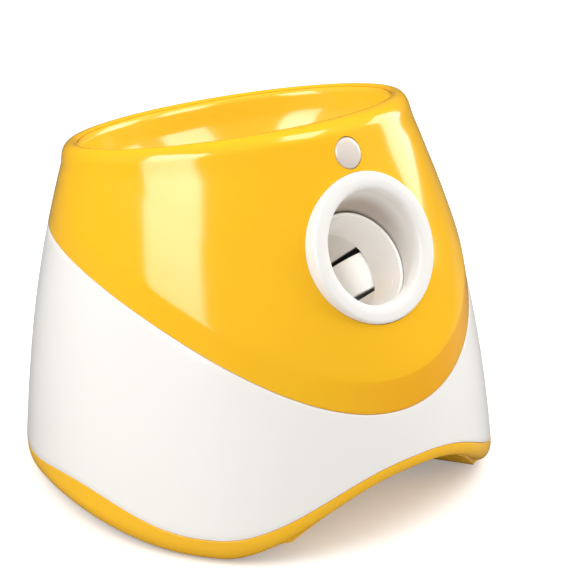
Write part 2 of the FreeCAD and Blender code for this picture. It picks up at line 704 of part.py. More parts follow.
def launch_barrel():
    nozzle_end = NOZZLE_S
    mouth = BORE_R + MOUTH_FLARE
    cap = BREECH_S + 2.5
    body = turned([(mouth + 0.5, 0.5), (mouth + 1.0, 0), (mouth + BARREL_WALL - 0.6, 0), (mouth + BARREL_WALL, 0.6),
                   (mouth + BARREL_WALL, 6), (BARREL_R, nozzle_end), (BARREL_R, cap), (0, cap), (0, BREECH_S),
                   (CHAMBER_R, BREECH_S), (CHAMBER_R, nozzle_end), (BORE_R, nozzle_end - 1.0)])
    front, back = SLEEVE_S + 4.5, BREECH_S + 2.5
    nose = TOWER_FRONT_X + 28
    lug, tip = TOWER_R + 2, TOWER_FRONT_S - TOWER_R - 2
    outline = [(-nose, front)]
    for x in (-TOWER_FRONT_X, TOWER_FRONT_X):
        outline += [(x - lug, front), (x - lug, tip + 3), (x - lug + 3, tip), (x + lug - 3, tip), (x + lug, tip + 3), (x + lug, front)]
    outline += [(nose, front), (DECK_HALF, WHEEL_S - 18), (DECK_HALF, back - 12), (DECK_HALF - 12, back),
               (12 - DECK_HALF, back), (-DECK_HALF, back - 12), (-DECK_HALF, WHEEL_S - 18), (-nose, front)]
    deck = Part.Face(Part.makePolygon([Vector(x, y, DECK_U - DECK_T) for x, y in outline])).extrude(Vector(0, 0, DECK_T))
    deck = deck.cut(cyl(CHAMBER_R + 0.5, 300, 0, -100, 0, "y"))
    out = body.fuse(deck)
    half = math.sqrt((WHEEL_R + WHEEL_SIDE_AIR) ** 2 - (WHEEL_X - BARREL_R) ** 2)
    out = out.cut(box(-DECK_HALF - 5, DECK_HALF + 5, WHEEL_S - half, WHEEL_S + half, DECK_U, GUARD_U))
    out = out.cut(cyl(TUBE_R, 60, 0, BALL_S, 0))
    for s in (-1, 1):
        out = out.cut(cyl(MOTOR_BOSS_R + 0.6, 20, s * WHEEL_X, WHEEL_S, DECK_U - 10))
        for d in (-1, 1):
            out = out.cut(cyl(SCREW_R + 0.1, 20, s * WHEEL_X, WHEEL_S + d * MOTOR_PITCH, DECK_U - 10))
        for ex, ey in GUARD_EARS:
            out = out.cut(cyl(SCREW_R, 8, s * (WHEEL_X + ex), WHEEL_S + ey, DECK_U - 6))
        hole = cyl(SENSOR_R + SEAT, 20, CHAMBER_R - 10 if s > 0 else -CHAMBER_R - 10, SENSOR_S, SENSOR_U, "x")
        out = out.cut(hole)
    out = put(out, BARREL)
    bosses = []
    for x, y, z in tower_points():
        bosses.append(cyl(TOWER_R, 2 * TOWER_DROP - 1, x, y, z))
    out = out.fuse(bosses)
    for x, y, z in tower_points():
        out = out.cut(cyl(SCREW_R + 0.2, 60, x, y, z - 20))
        out = out.cut(cyl(SCREW_HEAD_R + 0.3, 20, x, y, z + 2 * TOWER_DROP - 3.5))
    return solid_only(merged(out))


def wheel_guard(side):
    low, high = DECK_U, GUARD_U + GUARD_WALL
    r = GUARD_R + GUARD_WALL
    cup = cyl(r, high - low, side * WHEEL_X, WHEEL_S, low)
    ear = [cyl(3.8, 3, side * (WHEEL_X + ex), WHEEL_S + ey, low) for ex, ey in GUARD_EARS]
    cup = cup.fuse(ear).cut(cyl(GUARD_R, high - low - GUARD_WALL, side * WHEEL_X, WHEEL_S, low))
    cup = cup.cut(barrel_outside(SEAT))
    cup = cup.cut(box(-NIP_GAP / 2 - 1, NIP_GAP / 2 + 1, -50, 200, low - 1, high + 1))
    cup = cup.cut(cyl(TUBE_R + TUBE_WALL + SEAT, 60, 0, BALL_S, GUARD_U - 0.1))
    cup = cup.cut(cyl(TUBE_R, 60, 0, BALL_S, 0))
    for ex, ey in GUARD_EARS:
        cup = cup.cut(cyl(SCREW_R + 0.1, 8, side * (WHEEL_X + ex), WHEEL_S + ey, low - 2))
    cup = cup.cut(cyl(7, 20, side * WHEEL_X, WHEEL_S, GUARD_U - 1))
    return put(solid_only(cup), BARREL)


def flywheel(side):
    x, h = side * WHEEL_X, WHEEL_T
    rim_in = WHEEL_R - TREAD_T - 3.0
    hub = cyl(WHEEL_R - TREAD_T, h, x, WHEEL_S, -h / 2)
    for z in (-h / 2, 2.0):
        hub = hub.cut(tube(rim_in, 7.0, h / 2 - 2.0, x, WHEEL_S, z))
    for i in range(6):
        a = rad(60 * i)
        hub = hub.cut(cyl(4.6, h, x + 16.5 * math.cos(a), WHEEL_S + 16.5 * math.sin(a), -h / 2))
    hub = hub.cut(cyl(SHAFT_R, h, x, WHEEL_S, -h / 2))
    return put(hub, BARREL)


def tread(side):
    x, h = side * WHEEL_X, WHEEL_T
    ring = tube(WHEEL_R, WHEEL_R - TREAD_T, h, x, WHEEL_S, -h / 2)
    ring = ring.makeChamfer(0.7, [e for e in ring.Edges if e.Curve.TypeId == "Part::GeomCircle"
                                  and abs(e.Curve.Radius - WHEEL_R) < 0.01])
    return put(ring, BARREL)


def motor_shaft(side):
    return put(cyl(SHAFT_R, WHEEL_T / 2 - DECK_U + DECK_T + 8, side * WHEEL_X, WHEEL_S,
                   DECK_U - DECK_T - 8), BARREL)


def motor(side):
    x, top = side * WHEEL_X, DECK_U - DECK_T
    can = cyl(MOTOR_R, MOTOR_L, x, WHEEL_S, top - MOTOR_L)
    can = can.makeChamfer(1.2, [e for e in can.Edges if e.Curve.TypeId == "Part::GeomCircle"])
    can = can.fuse(cyl(MOTOR_BOSS_R, 2.2, x, WHEEL_S, top))
    can = can.fuse(cyl(4.5, 3, x, WHEEL_S, top - MOTOR_L - 3))
    can = can.cut(cyl(SHAFT_R + FIT, 20, x, WHEEL_S, top - 10))
    for d in (-1, 1):
        can = can.cut(cyl(SCREW_R, 5, x, WHEEL_S + d * MOTOR_PITCH, top - 5))
        can = can.fuse(box(x + d * 9 - 1.2, x + d * 9 + 1.2, WHEEL_S - 0.3, WHEEL_S + 0.3, top - MOTOR_L - 5, top - MOTOR_L + 0.5))
    return put(can.removeSplitter(), BARREL)


def screw(x, y, z, length, frame=None, up=True):
    """Pan head screw whose head seats at z, shank downwards."""
    s = cyl(SCREW_R - 0.1, length, x, y, z - length).fuse(cyl(SCREW_HEAD_R, SCREW_HEAD_T, x, y, z))
    if not up:
        s = cyl(SCREW_R - 0.1, length, x, y, z).fuse(cyl(SCREW_HEAD_R, SCREW_HEAD_T, x, y, z - SCREW_HEAD_T))
    return put(s, frame) if frame else s


def ball_sensor(side):
    x0 = side * (CHAMBER_R + 0.4)
    lens = cyl(SENSOR_R, 5, min(x0, x0 + side * 5), SENSOR_S, SENSOR_U, "x")
    x1 = side * (BARREL_R + 0.3)
    block = box(min(x1, x1 + side * 6), max(x1, x1 + side * 6), SENSOR_S - 5, SENSOR_S + 5, DECK_U, SENSOR_U + 6)
    return put(lens.fuse(block), BARREL)


# ---- port ------------------------------------------------------------------
def port_bezel():
    r, o = PORT_R, PORT_OPEN_R
    # leaning sleeve ends round the barrel's mouth
    end_r = BORE_R + MOUTH_FLARE + BARREL_WALL + SLEEVE_GAP

    def ring(frame, radius, depth):
        return [frame.multVec(Vector(radius * math.sin(a), depth, radius * math.cos(a))) for a in ANGLES]
    crest = ring(PORT, (r + o) / 2, -PORT_CROWN)
    out = [crest]
    for dr, y in ((4.4, -4.0), (2.7, -3.2), (1.2, -1.9), (0.3, -0.5), (0, 0.6), (0, PORT_SKIRT)):
        out.append(ring(PORT, r - dr, y))
    out += [ring(PORT, r - 2.0, PORT_SKIRT), ring(PORT, r - 2.4, 4.0), ring(PORT, o + SLEEVE_WALL, 4.0)]
    out.append(ring(BARREL, end_r + SLEEVE_WALL, SLEEVE_S + 2.0))
    inn = [crest]
    for dr, y in ((3.2, -4.0), (1.6, -3.1), (0.5, -1.6), (0, 0.6), (0, 3.4)):
        inn.append(ring(PORT, o + dr, y))
    inn.append(ring(BARREL, end_r, SLEEVE_S + 2.0))
    mouth = put(cyl(MOUTH_R + SLEEVE_GAP / 2, 20, 0, -0.5, 0, "y"), BARREL)
    return solid_only(skin_solid(out, inn).cut(mouth))


# ---- button ----------------------------------------------------------------
def mode_button():
    r = BUTTON_R
    back = SHELL_WALL + BUTTON_TRAVEL + 1.0
    cap = turned([(0, -1.9), (r * 0.4, -1.7), (r * 0.72, -1.2), (r - 0.7, -0.5), (r - 0.1, 0.2), (r, 0.8), (r, back),
                  (2.2, back + 1.2), (2.2, back + 1.2 + BUTTON_STEM), (0, back + 1.2 + BUTTON_STEM)])
    ears = box(-r - 1.8, r + 1.8, back - 0.8, back, -3, 3).cut(cyl(r - 1, 9, 0, 0, 0, "y"))
    return put(cap.fuse(ears), BUTTON)


def button_switch():
    """Small board with the tactile switch behind the button."""
    tip = SHELL_WALL + BUTTON_TRAVEL + 2.2 + BUTTON_STEM
    face = tip + BUTTON_TRAVEL + 0.2
    board = box(-13, 13, face + 2.4, face + 2.4 + PCB_T, -7, 7)
    sw = box(-3, 3, face + 0.6, face + 2.4, -3, 3).fuse(cyl(1.6, 1.0, 0, face, 0, "y"))
    return put(board.fuse(sw), BUTTON)


def upper_shell_full():
    shell = upper_shell()
    tip = SHELL_WALL + BUTTON_TRAVEL + 2.2 + BUTTON_STEM
    face = tip + BUTTON_TRAVEL + 0.2 + 2.4
    posts = []
    for x in (-1, 1):
        p = put(cyl(2.0, face + 1.5, x * (BUTTON_R + 1.8 + 2.4), -1.5, 0, "y"), BUTTON)
        posts.append(p.cut(put(box(-30, 30, -12, 0.9, -20, 20), BUTTON)))
    shell = shell.fuse(posts)
    for x in (-1, 1):
        shell = shell.cut(put(cyl(0.8, 6, x * (BUTTON_R + 1.8 + 2.4), face - 5, 0, "y"), BUTTON))
    return solid_only(shell)


# ---- power -----------------------------------------------------------------
def battery_box():
    outer = box(-BOX_HALF, BOX_HALF, BOX_Y, BOX_BACK, FLOOR_TOP, BOX_TOP)
    room = box(-BOX_HALF + BOX_WALL, BOX_HALF - BOX_WALL, BOX_Y + BOX_WALL, BOX_BACK - BOX_WALL, 0, BOX_TOP - BOX_WALL)
    out = outer.cut(room)
    for i in (1, 2):
        y = BOX_Y + BOX_WALL + CELL_GAP / 2 + i * (2 * CELL_R + CELL_GAP)
        rib = box(-BOX_HALF + 1, BOX_HALF - 1, y - 0.15, y + 0.15 + 0.0, CELL_Z + CELL_R * 0.75, BOX_TOP - 1)
        out = out.fuse(rib.cut(union([cell(j, c, 0.1) for j in (0, 1) for c in (0, 1, 2)])))
    return solid_only(out.removeSplitter())


def cell(col, row, grow=0.0):
    y = BOX_Y + BOX_WALL + CELL_GAP + CELL_R + row * (2 * CELL_R + CELL_GAP)
    x0 = -CELL_L - CELL_GAP / 2 if col == 0 else CELL_GAP / 2
    body = cyl(CELL_R + grow, CELL_L - 1.6, x0 + 0.1, y, CELL_Z, "x")
    nub_x = x0 + CELL_L - 1.6
    return body.fuse(cyl(3.2 + grow, 1.5, nub_x, y, CELL_Z, "x"))


def battery_contacts():
    plates = []
    for s in (-1, 1):
        wall_x = s * (BOX_HALF - BOX_WALL)
        for row in range(3):
            y = BOX_Y + BOX_WALL + CELL_GAP + CELL_R + row * (2 * CELL_R + CELL_GAP)
            a = wall_x - s * 0.5
            plates.append(box(min(a, wall_x), max(a, wall_x), y - 8, y + 8, CELL_Z - 8, CELL_Z + 8))
            end = s * (CELL_L + CELL_GAP / 2 + 0.15)
            if s > 0:
                end -= 0.1
            plates.append(cyl(3.0 if s > 0 else 5.0, abs(a - end), min(a, end), y, CELL_Z, "x"))
    out = []
    for i in range(0, len(plates), 2):
        out.append(plates[i].fuse(plates[i + 1]))
    return Part.makeCompound(out)


def battery_door():
    plate = box(-DOOR_HALF, DOOR_HALF, BOX_Y - DOOR_GRIP, BOX_BACK + DOOR_TAIL, DOOR_Z, DOOR_Z + DOOR_T)
    plate = plate.makeFillet(2.5, [e for e in plate.Edges if abs(e.tangentAt(e.FirstParameter).z) > 0.9])
    for i in range(5):
        y = BOX_Y - DOOR_GRIP + 3 + i * 2.6
        plate = plate.fuse(box(-14, 14, y, y + 1, DOOR_Z - 0.8, DOOR_Z + 0.2))
    return plate.removeSplitter()


def control_board():
    board = box(PCB_X - PCB_W / 2, PCB_X + PCB_W / 2, PCB_Y - PCB_L / 2, PCB_Y + PCB_L / 2, PCB_Z, PCB_Z + PCB_T)
    for x, y in PCB_POSTS:
        board = board.cut(cyl(SCREW_R + 0.1, 4, x, y, PCB_Z - 1))
    return board


def board_parts():
    z = PCB_Z + PCB_T
    out = [box(PCB_X - 6, PCB_X + 6, PCB_Y - 7, PCB_Y + 5, z, z + 2.0)]
    for i in range(3):
        out.append(box(PCB_X + 13, PCB_X + 21, PCB_Y - 24 + i * 16, PCB_Y - 12 + i * 16, z, z + 8))
    for dx, dy, r, h in ((-16, -22, 4, 12), (-16, -12, 4, 12), (-16, 8, 5, 14)):
        out.append(cyl(r, h, PCB_X + dx, PCB_Y + dy, z))
    for i in range(2):
        x = PCB_X - 6 + 11 * i
        out.append(box(x - 5, x + 5, PCB_Y + 20, PCB_Y + 24.5, z + 3, z + 18).fuse(box(x - 2, x + 2, PCB_Y + 21, PCB_Y + 22, z, z + 4)))
    return Part.makeCompound(out)


def board_screws():
    return Part.makeCompound([screw(x, y, PCB_Z + PCB_T, 6) for x, y in PCB_POSTS])


def rubber_foot(x, y):
    f = cyl(FOOT_R, FOOT_T, x, y, 0)
    return f.makeChamfer(1.0, [e for e in f.Edges if e.Curve.TypeId == "Part::GeomCircle" and e.Curve.Center.z < 0.1])


build = {
    "upper_shell": upper_shell_full, "lower_shell": lower_shell_full, "base_tray": base_tray,
    "hopper_bowl": hopper_bowl, "port_bezel": port_bezel, "launch_barrel": launch_barrel,
    "feed_tube": feed_tube, "gate_solenoid": gate_solenoid, "gate_pin": gate_pin,
    "wheel_guard_left": lambda: wheel_guard(-1), "wheel_guard_right": lambda: wheel_guard(1),
    "flywheel_left": lambda: flywheel(-1), "flywheel_right": lambda: flywheel(1),
    "tread_left": lambda: tread(-1), "tread_right": lambda: tread(1),
    "shaft_left": lambda: motor_shaft(-1), "shaft_right": lambda: motor_shaft(1),
    "motor_left": lambda: motor(-1), "motor_right": lambda: motor(1),
    "ball_sensor_emitter": lambda: ball_sensor(-1), "ball_sensor_receiver": lambda: ball_sensor(1),
    "mode_button": mode_button, "button_switch": button_switch,
    "battery_box": battery_box, "battery_contacts": battery_contacts, "battery_door": battery_door,
    "control_board": control_board, "board_parts": board_parts, "board_screws": board_screws,
    "dc_jack": jack, "dc_jack_nut": jack_nut,
    "motor_screws": lambda: Part.makeCompound([screw(s * WHEEL_X, WHEEL_S + d * MOTOR_PITCH, DECK_U, DECK_T + 3.5, BARREL)
                                               for s in (-1, 1) for d in (-1, 1)]),
    "guard_screws": lambda: Part.makeCompound([screw(s * (WHEEL_X + ex), WHEEL_S + ey, DECK_U + 3, 6, BARREL)
                                               for s in (-1, 1) for ex, ey in GUARD_EARS]),
    "deck_screws": lambda: Part.makeCompound([screw(x, y, z + 2 * TOWER_DROP - 3.5, 2 * TOWER_DROP + 7)
                                              for x, y, z in tower_points()]),
    "case_screws": lambda: Part.makeCompound([screw(x, y, FLOOR_Z + 2, 16, up=False) for x, y in case_points()]),
}
for row in range(3):
    for col in (0, 1):
        build["battery_%d" % (1 + row * 2 + col)] = lambda c=col, r=row: cell(c, r)
for name, (px, py) in zip(("front_left", "front_right", "back_left", "back_right"), boss_points()):
    build["foot_" + name] = lambda x=px, y=py: rubber_foot(x, y)

os.makedirs("parts", exist_ok=True)
for name, make in build.items():
    shape = make()
    shape.translate(Vector(0, SHIFT_Y, 0))
    parts[name] = shape
    shape.exportStep("parts/%s.step" % name)
    b = shape.BoundBox
    print("%-22s solids %d valid %s vol %.0f  x %.1f..%.1f y %.1f..%.1f z %.1f..%.1f" % (
        name, len(shape.Solids), shape.isValid(), shape.Volume, b.XMin, b.XMax, b.YMin, b.YMax, b.ZMin, b.ZMax))
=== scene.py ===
# %% [markdown]
# # Automatic dog ball launcher
# A round plastic machine that throws small balls for a dog. Balls go into the yellow bowl on top, roll
# down a tube into a tilted barrel and are thrown out between two spinning wheels. The mechanism comes
# ready made from the drawing. Here the moulded shells get their smooth surfaces and every part gets its
# finish. Sizes are written in millimetres, as a mould maker writes them, and become metres when a mesh
# is made.

# %% Load the machine
import bpy, bmesh, json, math
import numpy as np
from mathutils import Matrix, Vector
from mathutils.bvhtree import BVHTree


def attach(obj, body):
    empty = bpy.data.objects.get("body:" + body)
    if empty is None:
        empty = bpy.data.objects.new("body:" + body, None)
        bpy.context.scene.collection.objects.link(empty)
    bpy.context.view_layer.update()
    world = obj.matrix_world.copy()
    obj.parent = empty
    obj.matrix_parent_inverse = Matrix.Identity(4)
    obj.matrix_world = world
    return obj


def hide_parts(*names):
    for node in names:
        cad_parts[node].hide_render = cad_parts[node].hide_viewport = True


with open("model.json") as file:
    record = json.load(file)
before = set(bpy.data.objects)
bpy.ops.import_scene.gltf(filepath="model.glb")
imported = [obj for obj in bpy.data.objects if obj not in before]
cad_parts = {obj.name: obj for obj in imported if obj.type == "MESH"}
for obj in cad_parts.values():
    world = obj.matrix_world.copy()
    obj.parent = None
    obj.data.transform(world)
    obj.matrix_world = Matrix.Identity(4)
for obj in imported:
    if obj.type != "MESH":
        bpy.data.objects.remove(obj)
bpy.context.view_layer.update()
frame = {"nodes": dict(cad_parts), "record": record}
nodes = frame["nodes"]
body_of = {n: b for b, members in frame["record"]["behaviour"]["bodies"].items() for n in members}
slot_of = {s["node"]: s["material_slot"] for s in frame["record"]["subparts"]}

# %% [markdown]
# ## Workshop helpers
# A finished piece is a plain mesh at the origin. It rides on the body whose part it stands for, so it
# turns or slides with the machine.

# %% Finish a piece
def stand_for(piece, node):
    """The piece takes the place of one part of the machine."""
    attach(piece, body_of[node])
    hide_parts(node)
    return piece


def piece_from(name, points_mm, faces):
    mesh = bpy.data.meshes.new(name)
    mesh.from_pydata([tuple(p) for p in np.asarray(points_mm) * 0.001], [], faces)
    mesh.validate()
    piece = bpy.data.objects.new(name, mesh)
    bpy.context.scene.collection.objects.link(piece)
    return piece


def rounded_look(mesh, angle=34):
    """Smooth shading that breaks at real edges."""
    mesh.polygons.foreach_set("use_smooth", [True] * len(mesh.polygons))
    mesh.set_sharp_from_angle(angle=math.radians(angle))


# %% [markdown]
# ## The outline of the body
# In plan the body is two half ellipses, a shorter one to the front. Going up, every point of the wall
# leans in towards the rim, first a little and then more, which gives the soft cone. The rim itself is a
# tilted ellipse, higher over the port than at the back. Writing the skin as a function of the angle
# round the body and the height lets the same surface be drawn as finely as the light needs.

# %% Sizes of the body
HALF_WIDTH, FRONT_DEPTH, BACK_DEPTH, WIDEST_Y = 140.0, 141.0, 158.8, -11.04
SKIN_START, LEAN, LEAN_SWAY, BULGE, BULGE_SWAY = 15.7, 0.427, 0.037, 0.284, 0.092
SHOULDER_FRONT, SHOULDER_BACK, SHOULDER_FROM, SHOULDER_DROP = 7.0, 2.0, 0.70, 6.0
SHELL_WALL, SEAM = 2.8, 0.25
BELT_PROUD, BELT_SHARE, BELT_FADE, BELT_END, BELT_EASE = 1.7, 0.3, 44.0, 125, 60
CREASE_DIP, CREASE_WIDTH = 0.05, 1.6
RIM_RX, RIM_RY, RIM_TILT, LIP_R, LIP_LEG, LIP_PROUD = 103.6, 82.4, 10.7, 5.4, 8.0, 0.7
RIM_CENTRE = np.array([0, 11.36, 208.4])
t = math.radians(RIM_TILT)
RIM_DOWN = np.array([0, -math.cos(t), math.sin(t)])
RIM_UP = np.array([0, math.sin(t), math.cos(t)])
ROUND = 240
TURN = np.linspace(0, 2 * math.pi, ROUND, endpoint=False) + math.pi
print("body", 2 * HALF_WIDTH, "x", FRONT_DEPTH + BACK_DEPTH, "mm, drawn with", ROUND, "points round")

# %% The skin as a function
def unit(v):
    return v / np.linalg.norm(v, axis=-1, keepdims=True)


def column(v):
    return np.asarray(v, float)[..., None]


def rim_point(th, out, up):
    """Point beside the rolled rim's centre line: out is away from the bowl, up is square to the rim."""
    s, c = np.sin(th), np.cos(th)
    away = unit(column(s / RIM_RX) * [1, 0, 0] + column(c / RIM_RY) * RIM_DOWN)
    centre = RIM_CENTRE + column(RIM_RX * s) * [1, 0, 0] + column(RIM_RY * c) * RIM_DOWN
    return centre + away * column(out) + RIM_UP * column(up)


def skin_point(th, z):
    """Point of the body's outer skin at plan angle th, 0 at the front, and height z."""
    s, c = np.sin(th), np.cos(th)
    z = z + 0 * th
    depth = np.where(c > 0, FRONT_DEPTH, BACK_DEPTH)
    bx, by = HALF_WIDTH * s, WIDEST_Y - depth * c
    rim = rim_point(th, LIP_R - LIP_PROUD, 0)
    k = np.maximum(0, (z - SKIN_START) / (rim[:, 2] - SKIN_START))
    a, b = LEAN - LEAN_SWAY * c, BULGE + BULGE_SWAY * c
    lean = a * k + b * k ** 2 + (1 - a - b) * k ** 3
    away = unit(np.stack([s / HALF_WIDTH, -c / depth, 0 * s], -1))
    round_out = np.maximum(0, (k - SHOULDER_FROM) / (1 - SHOULDER_FROM)) ** 1.6
    push = round_out * (SHOULDER_FRONT * np.maximum(0, c) ** 5 + SHOULDER_BACK * np.maximum(0, -c) ** 2)
    return np.stack([bx + (rim[:, 0] - bx) * lean, by + (rim[:, 1] - by) * lean, z], -1) + away * column(push)


def inset(ring, depth):
    """A ring of points moved inwards, square to the wall in plan."""
    along = np.roll(ring, -1, 0) - np.roll(ring, 1, 0)
    along[:, 2] = 0
    along = unit(along)
    return ring + np.stack([-along[:, 1], along[:, 0], 0 * along[:, 0]], -1) * column(depth + 0 * TURN)


def skin_ring(heights, depth=0.0):
    return inset(skin_point(TURN, heights), depth)


# %% [markdown]
# ## Where the colours meet
# The yellow top ends in a bib line that hangs low over the port, and a soft crease runs above it. Both
# are gentle parabolas in side view. The height of such a line on the leaning wall is found by stepping
# to it a few times.

# %% Parting line, crease and rim heights
BIB_MID, BIB_RISE, BIB_BEND = 148.6, 0.264, 0.00218
CREASE_MID, CREASE_RISE, CREASE_BEND = 168.9, 0.358, 0.001745


def bib_line(y):
    return BIB_MID + BIB_RISE * (y - WIDEST_Y) - BIB_BEND * (y - WIDEST_Y) ** 2


def crease_line(y):
    return CREASE_MID + CREASE_RISE * (y - WIDEST_Y) - CREASE_BEND * (y - WIDEST_Y) ** 2


def height_of(line, guess=151.8, steps=14):
    z = np.full(ROUND, guess)
    for _ in range(steps):
        z = line(skin_point(TURN, z)[:, 1])
    return z


BIB = height_of(bib_line)
SKIN_TOP = rim_point(TURN, LIP_R - LIP_PROUD, -SHOULDER_DROP)[:, 2]
CREASE = np.minimum(height_of(crease_line), BIB + BELT_SHARE * (SKIN_TOP - BIB))
print("bib line", round(BIB.min(), 1), "to", round(BIB.max(), 1), "mm high")


# %% The belt and the rolled rim
def degrees_off_front():
    a = np.abs(np.degrees(TURN) % 360)
    return np.minimum(a, 360 - a)


def belt_push(z):
    """The belt swells towards its crease and dies out to the back."""
    fade = np.clip((BELT_END - degrees_off_front()) / BELT_EASE, 0, 1)
    up = (z - BIB) / (CREASE - BIB)
    down = 1 - (z - CREASE) / BELT_FADE
    soft = np.minimum(up, down) - CREASE_DIP * np.exp(-((z - CREASE) / CREASE_WIDTH) ** 2)
    return BELT_PROUD * fade * fade * (3 - 2 * fade) * np.maximum(0, soft)


def yellow_ring(z, depth=0.0):
    return inset(skin_point(TURN, z), depth - belt_push(z + 0 * TURN))


def lip_ring(phase, wall=0.0):
    """Ring round the rolled rim: 0 is the top of the skin, 90 the crest, 180 the bowl side."""
    c, s = math.cos(math.radians(phase)), math.sin(math.radians(phase))
    if phase >= 90:
        return rim_point(TURN, (LIP_R - wall) * c, (LIP_R - wall) * s)
    base = rim_point(TURN, 0, -SHOULDER_DROP)
    out = rim_point(TURN, 1, -SHOULDER_DROP) - base
    reach = ((skin_point(TURN, SKIN_TOP) - base) * out).sum(-1)
    return rim_point(TURN, (reach - wall) * c, (LIP_R + SHOULDER_DROP - wall) * s - SHOULDER_DROP)


print("rim crest", round(lip_ring(90)[:, 2].min(), 1), "to", round(lip_ring(90)[:, 2].max(), 1), "mm high")

# %% [markdown]
# ## Moulded shells
# A moulded shell is one wall of even thickness: an outer skin, an inner skin and two narrow edges. Rings
# of points, stacked up the outside, over the edge and down the inside, close on themselves like a long
# bent tube, so one small routine makes every shell. A real parting edge is never sharp, so the rings
# also turn a tiny radius there, and it catches a thin line of light.

# %% Stack rings into a closed wall
def wall_of(name, rings):
    """One closed mesh from rings of points; the last ring joins the first."""
    points = np.array(rings)
    count, around = points.shape[:2]
    at = np.arange(count * around).reshape(count, around)
    quads = np.stack([at, np.roll(at, -1, 1), np.roll(np.roll(at, -1, 0), -1, 1), np.roll(at, -1, 0)], -1)
    piece = piece_from(name, points.reshape(-1, 3), quads.reshape(-1, 4).tolist())
    shape = bmesh.new()
    shape.from_mesh(piece.data)
    if shape.calc_volume(signed=True) < 0:
        bmesh.ops.reverse_faces(shape, faces=shape.faces)
    shape.to_mesh(piece.data)
    shape.free()
    rounded_look(piece.data)
    return piece


def soften(rings, first, last, times):
    """Eases the bend between neighbouring rings, as a polished mould does."""
    rings = np.array(rings)
    for _ in range(times):
        middle = rings[first:last]
        rings[first:last] = (rings[first - 1:last - 1] + 2 * middle + rings[first + 1:last + 1]) / 4
    return list(rings)


EDGE_H, LIP_END = 0.4, 128
EDGE = ((0.0, 0.45), (0.1, 0.15), (EDGE_H, 0.0))

# %% Yellow upper shell
def yellow_wall(name, last):
    """The shell from its parting edge up the skin and over the rim, as far round the roll as asked."""
    belt = [yellow_ring(BIB + EDGE_H + (CREASE - BIB - EDGE_H) * f) for f in np.linspace(0.1, 1, 10)]
    body = [yellow_ring(CREASE + (SKIN_TOP - CREASE) * f) for f in np.linspace(0.02, 0.97, 46)]
    rings = [yellow_ring(BIB + up, deep) for up, deep in EDGE] + belt + body
    join = len(rings)
    rings += [lip_ring(p) for p in np.linspace(10, last, 26)] + [lip_ring(last + 1, 0.25)]
    rings = soften(rings, join - 3, join + 3, 4)
    inner = [yellow_ring(BIB, SHELL_WALL), yellow_ring(CREASE, SHELL_WALL)]
    inner += [yellow_ring(CREASE + (SKIN_TOP - CREASE) * f, SHELL_WALL) for f in (0.3, 0.6, 0.84, 0.97)]
    inner += [lip_ring(p, SHELL_WALL) for p in (25, 56, 90)]
    if last < 180:
        inner.append(lip_ring(last + 1, SHELL_WALL))
    else:
        rings[-1] = rim_point(TURN, -LIP_R, -LIP_LEG)
        inner += [lip_ring(p, SHELL_WALL) for p in (135, 180)]
        inner.append(rim_point(TURN, SHELL_WALL - LIP_R, -LIP_LEG))
    return wall_of(name, rings + inner[::-1])


full_roll = yellow_wall("full_roll", 180)
shell_top = yellow_wall("yellow_shell", LIP_END)
print("upper shell", len(shell_top.data.polygons), "faces")

# %% [markdown]
# ## Round holes
# The port and the button sit in round holes that are drilled square to their own tilted axes. A solid
# cylinder is taken away with an exact boolean, which cuts a clean edge through a wall of any curve. The
# faces next to the cut are long and thin, and would shade badly, so the corners that lie on the wall
# take their normals from the wall before the cut.

# %% Tilted axes and the drill
def axis_at(y, z, tilt):
    """Working frame whose -Y looks out and up by tilt degrees."""
    return Matrix.Translation((0, y, z)) @ Matrix.Rotation(-math.radians(tilt), 4, "X")


PORT_AXIS = axis_at(-107.04, 164.3, 22.9)
BARREL_TILT = 37.7
BARREL_AXIS = axis_at(-95.74, 151.8, BARREL_TILT)
BUTTON_AXIS = axis_at(-86.44, 214.2, 25.0)


def set_on(axis, local):
    """Points drawn in an axis's own frame, set where that axis is."""
    m = np.array(axis)
    return local @ m[:3, :3].T + m[:3, 3]


def ring_on(axis, radius, depth):
    """Circle of points round an axis, depth behind its face."""
    return set_on(axis, np.stack([radius * np.sin(TURN), 0 * TURN + depth, radius * np.cos(TURN)], -1))


def drill(piece, axis, radius, front, back):
    """Cuts a round hole through a wall."""
    ends = np.concatenate([ring_on(axis, radius, front), ring_on(axis, radius, back)])
    around = [(i, (i + 1) % ROUND, ROUND + (i + 1) % ROUND, ROUND + i) for i in range(ROUND)]
    cutter = piece_from("cutter", ends, around + [tuple(range(ROUND))[::-1], tuple(range(ROUND, 2 * ROUND))])
    shape = bmesh.new()
    shape.from_mesh(cutter.data)
    bmesh.ops.recalc_face_normals(shape, faces=shape.faces)
    shape.to_mesh(cutter.data)
    shape.free()
    cut = piece.modifiers.new("cut", "BOOLEAN")
    cut.operation, cut.solver, cut.object = "DIFFERENCE", "EXACT", cutter
    piece.data = bpy.data.meshes.new_from_object(piece.evaluated_get(bpy.context.evaluated_depsgraph_get()))
    piece.modifiers.clear()
    bpy.data.objects.remove(cutter)


SAME_WALL, SAME_WAY, SAFE_WAY, TINY = 2e-5, 0.94, 0.8, 1e-7


